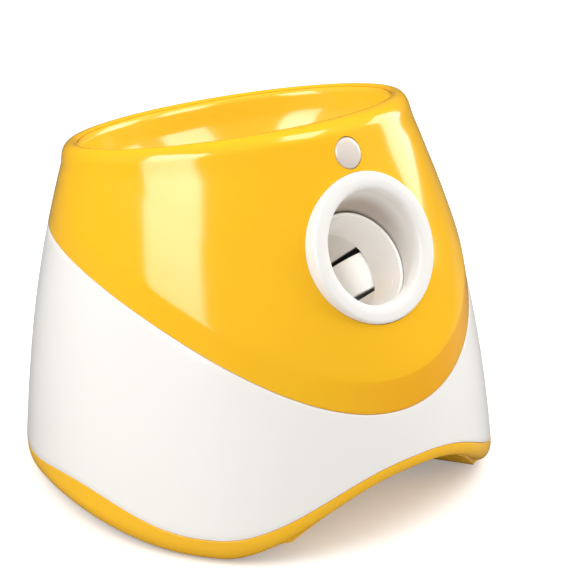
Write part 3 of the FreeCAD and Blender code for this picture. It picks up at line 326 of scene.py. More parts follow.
def borrow_light(piece, before):
    """Corner normals of a cut wall, taken from the wall as it was before the cut."""
    rounded_look(piece.data)
    mesh = piece.data
    flow = BVHTree.FromPolygons([v.co for v in before.vertices], [p.vertices for p in before.polygons])
    lit = [Vector(c.vector) for c in before.corner_normals]
    normals = [Vector(c.vector) for c in mesh.corner_normals]
    for face in mesh.polygons:
        _, way, index, gap = flow.find_nearest(face.center)
        if gap > SAME_WALL or way.dot(face.normal) < SAME_WAY:
            continue
        for corner in face.loop_indices:
            point = mesh.vertices[mesh.loops[corner].vertex_index].co
            mixed = Vector()
            for i in before.polygons[index].loop_indices:
                near = before.vertices[before.loops[i].vertex_index].co
                mixed += lit[i] / ((near - point).length + TINY) ** 2
            if mixed.normalized().dot(face.normal) > SAFE_WAY:
                normals[corner] = mixed.normalized()
    mesh.normals_split_custom_set(normals)


# %% Port and button hole
PORT_R, PORT_GAP, BUTTON_R, BUTTON_GAP = 42.7, 0.15, 9.0, 0.3
whole = shell_top.data.copy()
drill(shell_top, PORT_AXIS, PORT_R + PORT_GAP, -30, 30)
drill(shell_top, BUTTON_AXIS, BUTTON_R + BUTTON_GAP, -7, 7)
borrow_light(shell_top, whole)
stand_for(shell_top, "upper_shell")
print("after the port and the button hole", len(shell_top.data.polygons), "faces")

# %% [markdown]
# ## White lower shell
# The white skirt runs from the bib line down to the base band. It is the same wall drawn between two
# other heights. Its inside carries a tongue behind the parting line, screw bosses and the seat of the
# power inlet, which are kept from the drawing: every face of the drawn part that doesn't lie on one of
# the new skins is carried over.

# %% Heights of the base band
def swell(centre, half):
    """Soft bump: 1 at centre degrees off the front, 0 from half degrees to either side of that."""
    away = np.abs(degrees_off_front() - centre)
    return np.where(away < half, np.cos(np.pi / 2 * np.minimum(away / half, 1)) ** 2, 0)


def arch(half, power):
    """Bump over the front: 1 in the middle, 0 from half mm to either side. Power narrows it."""
    across = np.abs(HALF_WIDTH * np.sin(TURN)) / half
    shape = (1 - np.minimum(across, 1) ** 2.3) ** power
    return np.where((across < 1) & (np.cos(TURN) > 0), shape, 0)


GROUND_GAP, ROLL_H, ROLL_IN, ROLL_SHARE, BAND_WALL = 1.0, 12.0, 8.5, 0.8, 2.5
LOW_EDGE = GROUND_GAP + 42.0 * arch(106, 1.7) + 6.5 * swell(96, 42) + 13.0 * swell(180, 40)
BAND_TOP = 16.0 + 34.8 * arch(108, 1.9) + 12.0 * swell(88, 34) + 15.0 * swell(180, 40)
band_width = BAND_TOP - LOW_EDGE
print("base band", round(band_width.min(), 1), "to", round(band_width.max(), 1), "mm wide")

# %% Carry over what is moulded on inside
WELD, SKIN_GAP, SKIN_WAY = 2e-6, 6e-4, 0.8


def add_inside(piece, node, skins):
    """Joins the drawn part's ribs and bosses to a new wall."""
    flow = BVHTree.FromPolygons([v.co for v in skins.vertices], [p.vertices for p in skins.polygons])
    shape = bmesh.new()
    shape.from_mesh(nodes[node].data)
    bmesh.ops.remove_doubles(shape, verts=shape.verts, dist=WELD)
    on_skin = []
    for face in shape.faces:
        _, way, _, gap = flow.find_nearest(face.calc_center_median())
        corners = max(flow.find_nearest(v.co)[3] for v in face.verts)
        if max(gap, corners) < SKIN_GAP and abs(way.dot(face.normal)) > SKIN_WAY:
            on_skin.append(face)
    bmesh.ops.delete(shape, geom=on_skin, context="FACES")
    kept = len(shape.faces)
    inside = bpy.data.meshes.new(node + "_inside")
    shape.to_mesh(inside)
    shape.free()
    rounded_look(inside, 25)
    other = bpy.data.objects.new(node + "_inside", inside)
    bpy.context.scene.collection.objects.link(other)
    with bpy.context.temp_override(active_object=piece, selected_editable_objects=[piece, other]):
        bpy.ops.object.join()
    print(node, "keeps", kept, "faces of its inside")


# %% White skirt with the round recess for the inlet
bottom, top = BAND_TOP, BIB - SEAM
rings = [skin_ring(bottom + up, deep) for up, deep in EDGE]
rings += [skin_ring(bottom + EDGE_H + (top - bottom - 2 * EDGE_H) * f) for f in np.linspace(0.03, 0.97, 44)]
rings += [skin_ring(top - up, deep) for up, deep in EDGE[::-1]]
inner = [skin_ring(bottom + (top - bottom) * f, SHELL_WALL) for f in (0, 0.3, 0.64, 1)]
skirt = wall_of("white_skirt", rings + inner[::-1])
whole = skirt.data.copy()
JACK_Y, JACK_Z, JACK_R, JACK_SEAT = 145, 62.0, 5.5, 3.2
drill(skirt, Matrix.Translation((0, JACK_Y, JACK_Z)), JACK_R + JACK_SEAT, -25, 20)
borrow_light(skirt, whole)
add_inside(skirt, "lower_shell", whole)
stand_for(skirt, "lower_shell")

# %% Yellow shell's posts
add_inside(shell_top, "upper_shell", full_roll.data)
bpy.data.objects.remove(full_roll)

# %% [markdown]
# ## Base band
# The yellow band at the bottom has a rolled lower edge that tucks under, so the machine seems to stand
# on a soft lip. Between the two front feet the edge swings up into an arch. The roll is a quarter
# ellipse, smaller where the band is narrow. Floor, vault, towers and rails are carried over inside it.

# %% Rolled band
roll = np.minimum(ROLL_H, ROLL_SHARE * band_width)
tuck = ROLL_IN * roll / ROLL_H
rings, inner = [], []
for a in np.linspace(0, 90, 14):
    s, c = math.sin(math.radians(a)), math.cos(math.radians(a))
    rings.append(skin_ring(LOW_EDGE + roll * (1 - c), tuck * (1 - s)))
for a in (0, 30, 60, 90):
    s, c = math.sin(math.radians(a)), math.cos(math.radians(a))
    inner.append(skin_ring(LOW_EDGE + roll * (1 - c) + BAND_WALL * c, tuck * (1 - s) + BAND_WALL * s))
top = BAND_TOP - SEAM
rings += [skin_ring(LOW_EDGE + roll + (top - EDGE_H - LOW_EDGE - roll) * f)
          for f in (0.2, 0.4, 0.6, 0.8, 0.95)]
rings += [skin_ring(top - up, deep) for up, deep in EDGE[::-1]]
inner.append(skin_ring(top, BAND_WALL))
band = wall_of("base_band", rings + inner[::-1])
add_inside(band, "base_tray", band.data)
stand_for(band, "base_tray")

# %% [markdown]
# ## Hopper bowl
# The bowl is a funnel from the tilted rim to the neck above the feed tube. Its wall falls quickly at
# first and flattens towards the neck, so a ball always rolls on. The drawing gives nine stations of
# that curve, and a smooth curve through them gives the finer rings. Its upper edge takes over the
# roll of the rim, so that the joint is one hair line at the edge and the wall below it is unbroken.

# %% Curve through a few stations
def through(stations, steps):
    """Points on a smooth curve through the given points."""
    p = np.array([2 * np.array(stations[0]) - stations[1], *stations,
                  2 * np.array(stations[-1]) - stations[-2]])
    out = []
    for a, b, c, d in zip(p[:-3], p[1:-2], p[2:-1], p[3:]):
        for u in np.linspace(0, 1, steps, endpoint=False):
            square, cube = 2 * a - 5 * b + 4 * c - d, 3 * b - a - 3 * c + d
            out.append(0.5 * (2 * b + (c - a) * u + square * u * u + cube * u ** 3))
    return np.array(out + [p[-2]])


# %% Funnel
WHEEL_R, WHEEL_X, WHEEL_S, BALL_R = 32, 54, 48, 25
BALL_S = WHEEL_S + math.sqrt((WHEEL_R + BALL_R) ** 2 - WHEEL_X ** 2)
TUBE_R, TUBE_TOP_U, NECK_L, BOWL_WALL = 26.8, 50.0, 8.0, 2.6


def neck_ring(radius, height):
    local = np.stack([radius * np.sin(TURN), BALL_S - radius * np.cos(TURN), 0 * TURN + height], -1)
    return set_on(BARREL_AXIS, local)


STATIONS = [(0, 0), (0.03, 0.12), (0.1, 0.3), (0.22, 0.5), (0.4, 0.68), (0.62, 0.82), (0.84, 0.925),
            (0.97, 0.985), (1, 1)]
mouth, neck = rim_point(TURN, -LIP_R, -LIP_LEG - SEAM), neck_ring(TUBE_R, TUBE_TOP_U)
roll_over = [lip_ring(LIP_END + 5, 0.25)] + [lip_ring(p) for p in np.linspace(LIP_END + 6, 180, 9)]
funnel = roll_over + [mouth + (neck - mouth) * [f, f, g] for f, g in through(STATIONS, 6)]
funnel = soften(funnel, len(roll_over), len(funnel) - 2, 3)
funnel += [neck_ring(TUBE_R, TUBE_TOP_U - h) for h in (0.8, 3.0, NECK_L)]


def thicken(rings, wall):
    """The rings moved square to the surface, by one wall."""
    rings = np.array(rings)
    down = np.gradient(rings, axis=0)
    along = np.roll(rings, -1, 1) - np.roll(rings, 1, 1)
    return rings + unit(np.cross(along, down)) * wall


outside = thicken(funnel, -BOWL_WALL)[len(roll_over) + 3::3]
outside = [lip_ring(p, BOWL_WALL) for p in (LIP_END + 5, 150, 180)] + list(outside)
bowl = wall_of("hopper_funnel", funnel + outside[::-1])
stand_for(bowl, "hopper_bowl")
print("bowl", round(mouth[:, 2].min(), 1), "to", round(mouth[:, 2].max(), 1), "mm high at its mouth")

# %% [markdown]
# ## Port ring
# The white ring round the port is a rounded lip, a short skirt that reaches into the shell, and a sleeve
# that leans back to the barrel's mouth. Lip and skirt are turned about the port's axis and the sleeve's
# end about the barrel's, so the recess is deeper at the top. The rings between the two circles are
# eased from one to the other.

# %% Lip, skirt and leaning sleeve
OPEN_R, CROWN, SKIRT_L, SLEEVE_R, THROAT_R, SPAN = 32.0, 4.2, 11.0, 31.4, 31.1, 7
middle = (PORT_R + OPEN_R) / 2
outer_lip = through([(middle - 2.6, -4.15), (middle, -CROWN), (PORT_R - 1.9, -3.95), (PORT_R - 0.7, -3.35),
                     (PORT_R - 0.1, -2.0), (PORT_R, 0.6)], SPAN)[SPAN:]
inner_lip = through([(middle + 2.6, -4.15), (middle, -CROWN), (OPEN_R + 2.2, -3.7), (OPEN_R + 0.6, -2.3),
                     (OPEN_R, 0.6)], SPAN)[SPAN:]
ring_stack = [ring_on(PORT_AXIS, r, y) for r, y in outer_lip]
skirt_section = ((PORT_R, SKIRT_L - 0.5), (PORT_R - 0.5, SKIRT_L), (PORT_R - 2.0, SKIRT_L),
                 (PORT_R - 2.4, 4.0), (OPEN_R + 2, 4.0))
ring_stack += [ring_on(PORT_AXIS, r, y) for r, y in skirt_section]
ring_stack.append(ring_on(BARREL_AXIS, SLEEVE_R + 2, 5.0))
throat = [ring_on(BARREL_AXIS, SLEEVE_R, 5.0)]
start, end = ring_on(PORT_AXIS, OPEN_R, 3.4), throat[0]
throat += [end + (start - end) * f for f in np.linspace(0, 1, 14)[1:]]
throat += [ring_on(PORT_AXIS, OPEN_R, y) for y in (2.6, 1.6)]
lip_in = [ring_on(PORT_AXIS, r, y) for r, y in inner_lip[::-1][:-1]]
bezel = wall_of("port_ring", ring_stack + throat + lip_in)
whole = bezel.data.copy()
drill(bezel, BARREL_AXIS, THROAT_R, -0.5, 19.5)
borrow_light(bezel, whole)
stand_for(bezel, "port_bezel")
print("port ring", len(bezel.data.polygons), "faces")

# %% [markdown]
# ## Finishes
# Moulded plastic looks plain, but it never is one flat colour. The pigment flows a little unevenly, the
# polished skin has a very fine orange peel, and where balls roll the gloss is rubbed. Each of these is
# one node group, placed in every material that needs it with its own amounts, so yellow, white and
# black plastic differ only in their numbers. A last group blends to a second colour: painted shade on
# the belt below the crease, and a warm painted shade deeper in the port ring's recess.

# %% Tools for node trees
COLOR, FLOAT, VECTOR, MATERIAL = ("NodeSocket" + kind for kind in ("Color", "Float", "Vector", "Material"))


def wire(tree, node, links):
    """Sets a node's inputs; each takes a value, a socket or another node's first output."""
    for key, source in links.items():
        if isinstance(source, bpy.types.Node):
            source = source.outputs[0]
        if isinstance(source, bpy.types.NodeSocket):
            tree.links.new(source, node.inputs[key])
        else:
            node.inputs[key].default_value = source


def add(tree, kind, links, **settings):
    """A new node with its settings and its inputs."""
    node = tree.nodes.new(kind)
    for key, value in settings.items():
        setattr(node, key, value)
    wire(tree, node, links)
    return node


def calc(tree, operation, *values):
    return add(tree, "ShaderNodeMath", dict(enumerate(values)), operation=operation)


def ramp(tree, value, start, end, low=0.0, high=1.0, kind="LINEAR"):
    limits = {"Value": value, "From Min": start, "From Max": end, "To Min": low, "To Max": high}
    return add(tree, "ShaderNodeMapRange", limits, interpolation_type=kind)


def noise(tree, place, scale, detail, roughness=0.5, distortion=0.0):
    return add(tree, "ShaderNodeTexNoise", {"Vector": place, "Scale": scale, "Detail": detail,
                                            "Roughness": roughness, "Distortion": distortion})


def brighter(tree, color, gain):
    return add(tree, "ShaderNodeVectorMath", {0: color, "Scale": gain}, operation="SCALE")


def use(tree, group, links):
    return add(tree, "ShaderNodeGroup", links, node_tree=group)


def group_of(name, inputs, outputs):
    """An empty shader group with its named sockets."""
    tree = bpy.data.node_groups.new(name, "ShaderNodeTree")
    for labels, way in ((inputs, "INPUT"), (outputs, "OUTPUT")):
        for label, kind in labels.items():
            tree.interface.new_socket(label, in_out=way, socket_type=kind)
    return tree, tree.nodes.new("NodeGroupInput").outputs, tree.nodes.new("NodeGroupOutput")


# %% Group: uneven pigment
pigment, given, leave = group_of("uneven pigment", {"Vector": VECTOR, "Color": COLOR, "Flow": FLOAT,
                                                    "Size": FLOAT, "Gloss": FLOAT, "Haze": FLOAT},
                                 {"Color": COLOR, "Roughness": FLOAT})
flow = noise(pigment, given["Vector"], given["Size"], 3.0)
gain = calc(pigment, "MULTIPLY_ADD", calc(pigment, "SUBTRACT", flow, 0.5), given["Flow"], 1.0)
fine = noise(pigment, given["Vector"], 55.0, 4.0, 0.6)
haze = calc(pigment, "MULTIPLY_ADD", fine, given["Haze"], given["Gloss"])
wire(pigment, leave, {"Color": brighter(pigment, given["Color"], gain), "Roughness": haze})

# %% Group: orange peel of a polished mould
peel, given, leave = group_of("orange peel", {"Vector": VECTOR, "Size": FLOAT, "Waviness": FLOAT},
                              {"Height": FLOAT})
small = noise(peel, given["Vector"], given["Size"], 1.0)
large = noise(peel, given["Vector"], 45.0, 0.0)
wire(peel, leave, {"Height": calc(peel, "MULTIPLY_ADD", large, given["Waviness"], small)})

# %% Group: rub marks where balls roll
rubbed, given, leave = group_of("rub marks", {"Vector": VECTOR, "Color": COLOR, "Roughness": FLOAT,
                                              "Amount": FLOAT, "Direction": VECTOR},
                                {"Color": COLOR, "Roughness": FLOAT})
along = add(rubbed, "ShaderNodeVectorMath", {0: given["Vector"], 1: given["Direction"]}, operation="MULTIPLY")
scratch = noise(rubbed, along, 1.0, 5.0, 0.7, 0.4)
much = calc(rubbed, "MULTIPLY", ramp(rubbed, scratch, 0.56, 0.74), given["Amount"])
dull = calc(rubbed, "MULTIPLY_ADD", much, 0.22, given["Roughness"])
paler = calc(rubbed, "MULTIPLY_ADD", much, 0.05, 1.0)
wire(rubbed, leave, {"Color": brighter(rubbed, given["Color"], paler), "Roughness": dull})

# %% Group: a second colour where a mask asks for it
def masked_color(name, ramps):
    """Blends to a second colour by the product of ramps. Each has a direction, a bend, a start and an end:
    it follows the distance along the direction, plus the bend times y squared."""
    tree, given, leave = group_of(name, {"Vector": VECTOR, "Color": COLOR, "Second": COLOR}, {"Color": COLOR})
    place = given["Vector"]
    y = add(tree, "ShaderNodeSeparateXYZ", {"Vector": place}).outputs["Y"]
    y_squared = calc(tree, "MULTIPLY", y, y)
    share = 1.0
    for direction, bend, start, end in ramps:
        along = add(tree, "ShaderNodeVectorMath", {0: place, 1: tuple(direction)}, operation="DOT_PRODUCT")
        height = calc(tree, "MULTIPLY_ADD", y_squared, bend, along.outputs["Value"])
        share = calc(tree, "MULTIPLY", share, ramp(tree, height, start, end, kind="SMOOTHSTEP"))
    blend = add(tree, "ShaderNodeMix", {0: share, 6: given["Color"], 7: given["Second"]}, data_type="RGBA")
    wire(tree, leave, {"Color": blend.outputs[2]})
    return tree


# Belt mask: painted shade. The yellow turns deeper below the crease, more so towards the right and the front,
# where less light falls on the belt.
WIDEST, BEND = WIDEST_Y * 0.001, CREASE_BEND * 1000
crease_rise = CREASE_RISE + 2 * BEND * WIDEST
crease_foot = CREASE_MID * 0.001 - CREASE_RISE * WIDEST - BEND * WIDEST * WIDEST
below_crease = ((0, -crease_rise, 1), BEND, crease_foot + 0.0008, crease_foot - 0.0008)
belt_painted_shade = masked_color("belt painted shade", [below_crease, ((1, 0, 0), 0.0, -0.07, 0.02),
                                       ((0, -1, 0), 0.0, 0.0, 0.08)])
# Recess mask: painted shade. The port ring's white darkens deeper into the recess and towards its top, where
# the recess lies in shadow.
into, upward = (PORT_AXIS.col[k].to_3d() for k in (1, 2))
centre = PORT_AXIS.translation * 0.001
deep, high = centre.dot(into), centre.dot(upward)
recess_shade = masked_color("recess shade", [(into, 0.0, deep + 0.003, deep + 0.016),
                                             (upward, 0.0, high - 0.025, high + 0.03)])
print("node groups", [g.name for g in bpy.data.node_groups])

# %% Plastic from the groups
FLOW_SIZE, PEEL_SIZE, PEEL_WAVES, PEEL_DEPTH = 9.0, 700.0, 0.3, 0.0004
RUB_DIRECTION, MILKY_RADIUS = (60.0, 60.0, 400.0), (0.004, 0.003, 0.002)


def plastic(name, color, gloss, flow=0.04, haze=0.06, height=0.05, coat=0.0, rub=0.0, metal=0.0, soft=0.0,
            mask=None, second=None):
    """Moulded finish: pigment, orange peel and, where asked, rub marks under a plain shader."""
    material = bpy.data.materials.new(name)
    material.use_nodes = True
    tree = material.node_tree
    shader = tree.nodes["Principled BSDF"]
    place = tree.nodes.new("ShaderNodeTexCoord").outputs["Object"]
    tone = use(tree, pigment, {"Vector": place, "Color": (*color, 1), "Flow": flow, "Size": FLOW_SIZE,
                               "Gloss": gloss, "Haze": haze})
    if rub:
        tone = use(tree, rubbed, {"Vector": place, "Color": tone, "Roughness": tone.outputs["Roughness"],
                                  "Amount": rub, "Direction": RUB_DIRECTION})
    shown = tone
    if mask:
        shown = use(tree, mask, {"Vector": place, "Color": tone, "Second": (*second, 1)})
    skin = use(tree, peel, {"Vector": place, "Size": PEEL_SIZE, "Waviness": PEEL_WAVES})
    bump = add(tree, "ShaderNodeBump", {"Height": skin, "Strength": height, "Distance": PEEL_DEPTH})
    wire(tree, shader, {"Base Color": shown, "Roughness": tone.outputs["Roughness"], "Normal": bump,
                        "Metallic": metal, "Coat Weight": coat, "Subsurface Weight": soft})
    if soft:
        shader.inputs["Subsurface Radius"].default_value = MILKY_RADIUS
    return material


# %% The machine's materials
YELLOW, WHITE = (0.975, 0.525, 0.015), (0.905, 0.877, 0.835)
# The belt's colour on the next line is painted shade below the crease.
# The bowl's colour on the next line is the shell's yellow painted lighter, as painted light.
# The recess colour on the next line is painted shade inside the port ring.
BOWL_PAINTED_LIGHT_YELLOW, BELT_PAINTED_SHADE_YELLOW, RECESS_PAINTED_SHADE_WHITE = (0.98, 0.56, 0.035), (0.90, 0.42, 0.010), (0.53, 0.45, 0.38)
finish = {
    "yellow_plastic": plastic("yellow gloss", YELLOW, 0.2, flow=0.05, coat=0.3),
    "white_plastic": plastic("white gloss", WHITE, 0.22, flow=0.025, coat=0.2),
    "dark_plastic": plastic("black satin", (0.02, 0.02, 0.022), 0.42, flow=0.3, haze=0.15, height=0.15),
    "tread_rubber": plastic("pale wheel rubber", (0.82, 0.81, 0.78), 0.34, flow=0.05, height=0.08),
    "rubber_dark": plastic("black rubber", (0.03, 0.03, 0.03), 0.62, flow=0.3, height=0.3),
    "steel": plastic("bright steel", (0.62, 0.62, 0.64), 0.24, haze=0.2, metal=1.0, height=0.05),
    "motor_can": plastic("rolled steel", (0.5, 0.5, 0.52), 0.34, haze=0.2, metal=1.0, height=0.08),
    "nickel": plastic("nickel plate", (0.75, 0.72, 0.66), 0.18, haze=0.15, metal=1.0, height=0.03),
    "button_plastic": plastic("milky button", (0.74, 0.66, 0.58), 0.3, flow=0.05, haze=0.08, coat=0.4,
                              soft=0.15),
    "circuit_board": plastic("green solder mask", (0.012, 0.11, 0.04), 0.3, flow=0.25, height=0.1),
    "cell_sleeve": plastic("plain cell sleeve", (0.05, 0.055, 0.065), 0.3, flow=0.2, coat=0.2),
}
# The bowl's yellow is painted lighter than the shell's, as painted light against the deeper colour of light
# bounced inside the bowl; its rub marks are real wear.
bowl_yellow = plastic("yellow gloss, rubbed by balls, with painted light", BOWL_PAINTED_LIGHT_YELLOW, 0.12, flow=0.05, coat=0.25,
                      rub=0.6)
# The shell's yellow with painted shade on the belt below the crease.
yellow_with_painted_belt_shade = plastic("yellow gloss with painted shade on the belt", YELLOW, 0.11, flow=0.05, coat=0.3, mask=belt_painted_shade,
                        second=BELT_PAINTED_SHADE_YELLOW)
# The port ring's white, with the painted shade of its recess.
port_white = plastic("white satin, shaded in the recess", WHITE, 0.36, flow=0.025, mask=recess_shade,
                     second=RECESS_PAINTED_SHADE_WHITE)


def paint(piece, material):
    piece.data.materials.clear()
    piece.data.materials.append(material)


for node, part in nodes.items():
    paint(part, finish[slot_of[node]])
for piece, material in ((shell_top, yellow_with_painted_belt_shade), (skirt, finish[slot_of["lower_shell"]]),
                        (band, finish[slot_of["base_tray"]]), (bowl, bowl_yellow), (bezel, port_white)):
    paint(piece, material)
print(len(finish) + 3, "finishes")

# %% [markdown]
# ## Screws
# The machine is held together by twenty-two pan head screws in five sets. One Geometry Nodes tree makes
# a screw from its named sizes, with a cross cut into its head, and sets a copy on every point of a small
# cloud of points. Making the cross by taking two bars away keeps it a real recess that catches shade.

# %% Tree: a cross head screw on every point
def new_tree(name, inputs):
    tree = bpy.data.node_groups.new(name, "GeometryNodeTree")
    tree.interface.new_socket("Geometry", in_out="INPUT", socket_type="NodeSocketGeometry")
    for label, kind in inputs.items():
        tree.interface.new_socket(label, in_out="INPUT", socket_type=kind)
    tree.interface.new_socket("Geometry", in_out="OUTPUT", socket_type="NodeSocketGeometry")
    return tree, tree.nodes.new("NodeGroupInput").outputs, tree.nodes.new("NodeGroupOutput")


def close_tree(tree, geometry, material, leave):
    """Every tree ends in real geometry with its material."""
    real = add(tree, "GeometryNodeRealizeInstances", {"Geometry": geometry})
    wire(tree, leave, {0: add(tree, "GeometryNodeSetMaterial", {"Geometry": real, "Material": material})})


HEAD_TAPER, BAR_REACH = 0.72, 1.1
screw, given, leave = new_tree("cross head screws", {"Head Radius": FLOAT, "Head Height": FLOAT,
                                                     "Shank Radius": FLOAT, "Shank Length": FLOAT,
                                                     "Slot Width": FLOAT, "Turn": VECTOR,
                                                     "Material": MATERIAL})
shank = add(screw, "GeometryNodeMeshCylinder", {"Vertices": 20, "Radius": given["Shank Radius"],
                                                "Depth": given["Shank Length"]})
drop = add(screw, "ShaderNodeCombineXYZ", {"Z": calc(screw, "MULTIPLY", given["Shank Length"], -0.5)})
shank = add(screw, "GeometryNodeTransform", {"Geometry": shank, "Translation": drop})
head_top = calc(screw, "MULTIPLY", given["Head Radius"], HEAD_TAPER)
head = add(screw, "GeometryNodeMeshCone", {"Vertices": 28, "Side Segments": 1, "Radius Top": head_top,
                                           "Radius Bottom": given["Head Radius"],
                                           "Depth": given["Head Height"]})
across = calc(screw, "MULTIPLY", given["Head Radius"], BAR_REACH)
top_of_head = add(screw, "ShaderNodeCombineXYZ", {"Z": given["Head Height"]})
recess = add(screw, "GeometryNodeMeshBoolean", {"Mesh 1": head}, operation="DIFFERENCE")
for x, y in ((across, given["Slot Width"]), (given["Slot Width"], across)):
    size = add(screw, "ShaderNodeCombineXYZ", {"X": x, "Y": y, "Z": given["Head Height"]})
    bar = add(screw, "GeometryNodeMeshCube", {"Size": size})
    bar = add(screw, "GeometryNodeTransform", {"Geometry": bar, "Translation": top_of_head})
    wire(screw, recess, {"Mesh 2": bar})
whole_screw = add(screw, "GeometryNodeJoinGeometry", {0: recess})
wire(screw, whole_screw, {0: shank})
copies = add(screw, "GeometryNodeInstanceOnPoints", {"Points": given["Geometry"], "Instance": whole_screw,
                                                     "Rotation": given["Turn"]})
close_tree(screw, copies, given["Material"], leave)


# %% Grow a tree on a cloud of points
def grown(name, tree, points_mm, values, node, angle=30):
    """Applies the tree to points, turns the result into a plain mesh and sets it in place of the part."""
    piece = piece_from(name, points_mm, [])
    step = piece.modifiers.new("tree", "NODES")
    step.node_group = tree
    for item in tree.interface.items_tree:
        if item.in_out == "INPUT" and item.name in values:
            step[item.identifier] = values[item.name]
    piece.data = bpy.data.meshes.new_from_object(piece.evaluated_get(bpy.context.evaluated_depsgraph_get()))
    piece.modifiers.clear()
    rounded_look(piece.data, angle)
    return stand_for(piece, node)


def in_barrel(x, s, u):
    """Point beside the barrel's axis: across, behind the mouth and above the axis."""
    return np.array(BARREL_AXIS @ Vector((x, s, u)))


# %% Where the screws sit
EAR_R, EAR_ANGLES, EAR_U = 40.3, (-36, 28, 98), -11
MOTOR_PITCH, MOTOR_U = 8, -14
TOWERS, TOWER_U, DECK_LIFT = ((-38, 6.5), (38, 6.5), (-76, 90), (76, 90)), -15.5, 2.5
BOARD_X, BOARD_Y, BOARD_TOP, BOARD_HALF_X, BOARD_HALF_Y = -87, 19.86, 53.6, 19, 31
CASE_ANGLES, CASE_LEVEL, CASE_INBOARD, CASE_HEAD_Z, DRAWING_Y = (-58, 58, -122, 122), 16.0, 15, 13.5, 2.14
ears = [(EAR_R * math.cos(math.radians(a)), EAR_R * math.sin(math.radians(a))) for a in EAR_ANGLES]
corners = []
for a in CASE_ANGLES:
    p = skin_point(np.array([math.radians(a)]), CASE_LEVEL)[0]
    p[1] += DRAWING_Y
    p[:2] *= 1 - CASE_INBOARD / math.hypot(p[0], p[1])
    corners.append((p[0], p[1] - DRAWING_Y, CASE_HEAD_Z))
lean = -math.radians(BARREL_TILT)
screw_sizes = {"Head Radius": 0.0028, "Head Height": 0.0018, "Shank Radius": 0.0014, "Slot Width": 0.0007,
               "Material": finish["steel"]}
for name, node, length, turn, points in (
        ("guard_screw_set", "guard_screws", 0.006, lean,
         [in_barrel(k * (WHEEL_X + x), WHEEL_S + y, EAR_U) for k in (-1, 1) for x, y in ears]),
        ("motor_screw_set", "motor_screws", 0.0065, lean,
         [in_barrel(k * WHEEL_X, WHEEL_S + d * MOTOR_PITCH, MOTOR_U) for k in (-1, 1) for d in (-1, 1)]),
        ("deck_screw_set", "deck_screws", 0.019, 0,
         [in_barrel(x, s, TOWER_U) + [0, 0, DECK_LIFT] for x, s in TOWERS]),
        ("board_screw_set", "board_screws", 0.006, 0,
         [(BOARD_X + x, BOARD_Y + y, BOARD_TOP) for x in (-BOARD_HALF_X, BOARD_HALF_X)
          for y in (-BOARD_HALF_Y, BOARD_HALF_Y)]),
        ("case_screw_set", "case_screws", 0.016, math.pi, corners)):
    piece = grown(name, screw, points, {**screw_sizes, "Shank Length": length, "Turn": (turn, 0, 0)}, node)
    print(name, len(points), "screws,", len(piece.data.polygons), "faces")

# %% [markdown]
# ## Wheel treads
# The tread is a plain ring, so its shape follows a rule: a rounded rectangle swept round a circle. A
# tree with the ring's radius, thickness, width and corner as inputs sweeps it.

# %% Tree: a swept ring
ring, given, leave = new_tree("swept ring", {"Radius": FLOAT, "Thickness": FLOAT, "Width": FLOAT,
                                             "Corner": FLOAT, "Turn": VECTOR, "Material": MATERIAL})
path = add(ring, "GeometryNodeCurvePrimitiveCircle", {"Resolution": 128, "Radius": given["Radius"]})
section = add(ring, "GeometryNodeCurvePrimitiveQuadrilateral", {"Width": given["Thickness"],
                                                                "Height": given["Width"]})
soft = add(ring, "GeometryNodeFilletCurve", {"Curve": section, "Count": 4, "Radius": given["Corner"]},
           mode="POLY")
swept = add(ring, "GeometryNodeCurveToMesh", {"Curve": path, "Profile Curve": soft})
placed = add(ring, "GeometryNodeInstanceOnPoints", {"Points": given["Geometry"], "Instance": swept,
                                                    "Rotation": given["Turn"]})
close_tree(ring, placed, given["Material"], leave)

# %% Two treads
TREAD_T, TREAD_W, TREAD_CORNER = 3.0, 22.0, 0.8
tread_sizes = {"Radius": (WHEEL_R - TREAD_T / 2) * 0.001, "Thickness": TREAD_T * 0.001,
               "Width": TREAD_W * 0.001, "Corner": TREAD_CORNER * 0.001, "Turn": (lean, 0, 0),
               "Material": finish["tread_rubber"]}
tyres = [grown("tyre_" + side, ring, [in_barrel(x, WHEEL_S, 0)], tread_sizes, "tread_" + side, 40)
         for side, x in (("left", -WHEEL_X), ("right", WHEEL_X))]
print("treads", [len(t.data.polygons) for t in tyres], "faces")

# %% [markdown]
# ## Studio
# The room and the floor are bright and even, and the camera sees both as white or nearly white.
# Reflections see them nearly dark, so the gloss keeps the depth of the colour and shows only the lamps
# that are meant to be seen in it.

# %% Floor and room
ROOM_LIGHT, ROOM_GLOSS, FLOOR_BOUNCE, FLOOR_GLOSS, FLOOR_LIFT = 0.70, 0.08, 0.62, 0.10, 0.26
FLOOR_WHITE, FLOOR_HALF = 0.96, 6
floor_mesh = bpy.data.meshes.new("studio_floor")
floor_mesh.from_pydata([(x * FLOOR_HALF, y * FLOOR_HALF, 0) for x, y in ((-1, -1), (1, -1), (1, 1), (-1, 1))],
                       [], [(0, 1, 2, 3)])
floor = bpy.data.objects.new("studio_floor", floor_mesh)
bpy.context.scene.collection.objects.link(floor)
pale = plastic("pale floor", (FLOOR_WHITE,) * 3, 0.6, flow=0.01, haze=0.05, height=0.02)
floor.data.materials.append(pale)
tree = pale.node_tree
seen = tree.nodes.new("ShaderNodeLightPath").outputs
bounce = ramp(tree, seen["Is Glossy Ray"], 0.0, 1.0, FLOOR_BOUNCE, FLOOR_GLOSS)
shown = ramp(tree, seen["Is Camera Ray"], 0.0, 1.0, bounce, FLOOR_WHITE)
lift = calc(tree, "MULTIPLY", seen["Is Camera Ray"], FLOOR_LIFT)
wire(tree, tree.nodes["Principled BSDF"], {"Base Color": shown, "Emission Color": (1, 1, 1, 1),
                                           "Emission Strength": lift})
world = bpy.data.worlds.new("bright room")
bpy.context.scene.world = world
world.use_nodes = True
tree = world.node_tree
seen = tree.nodes.new("ShaderNodeLightPath").outputs
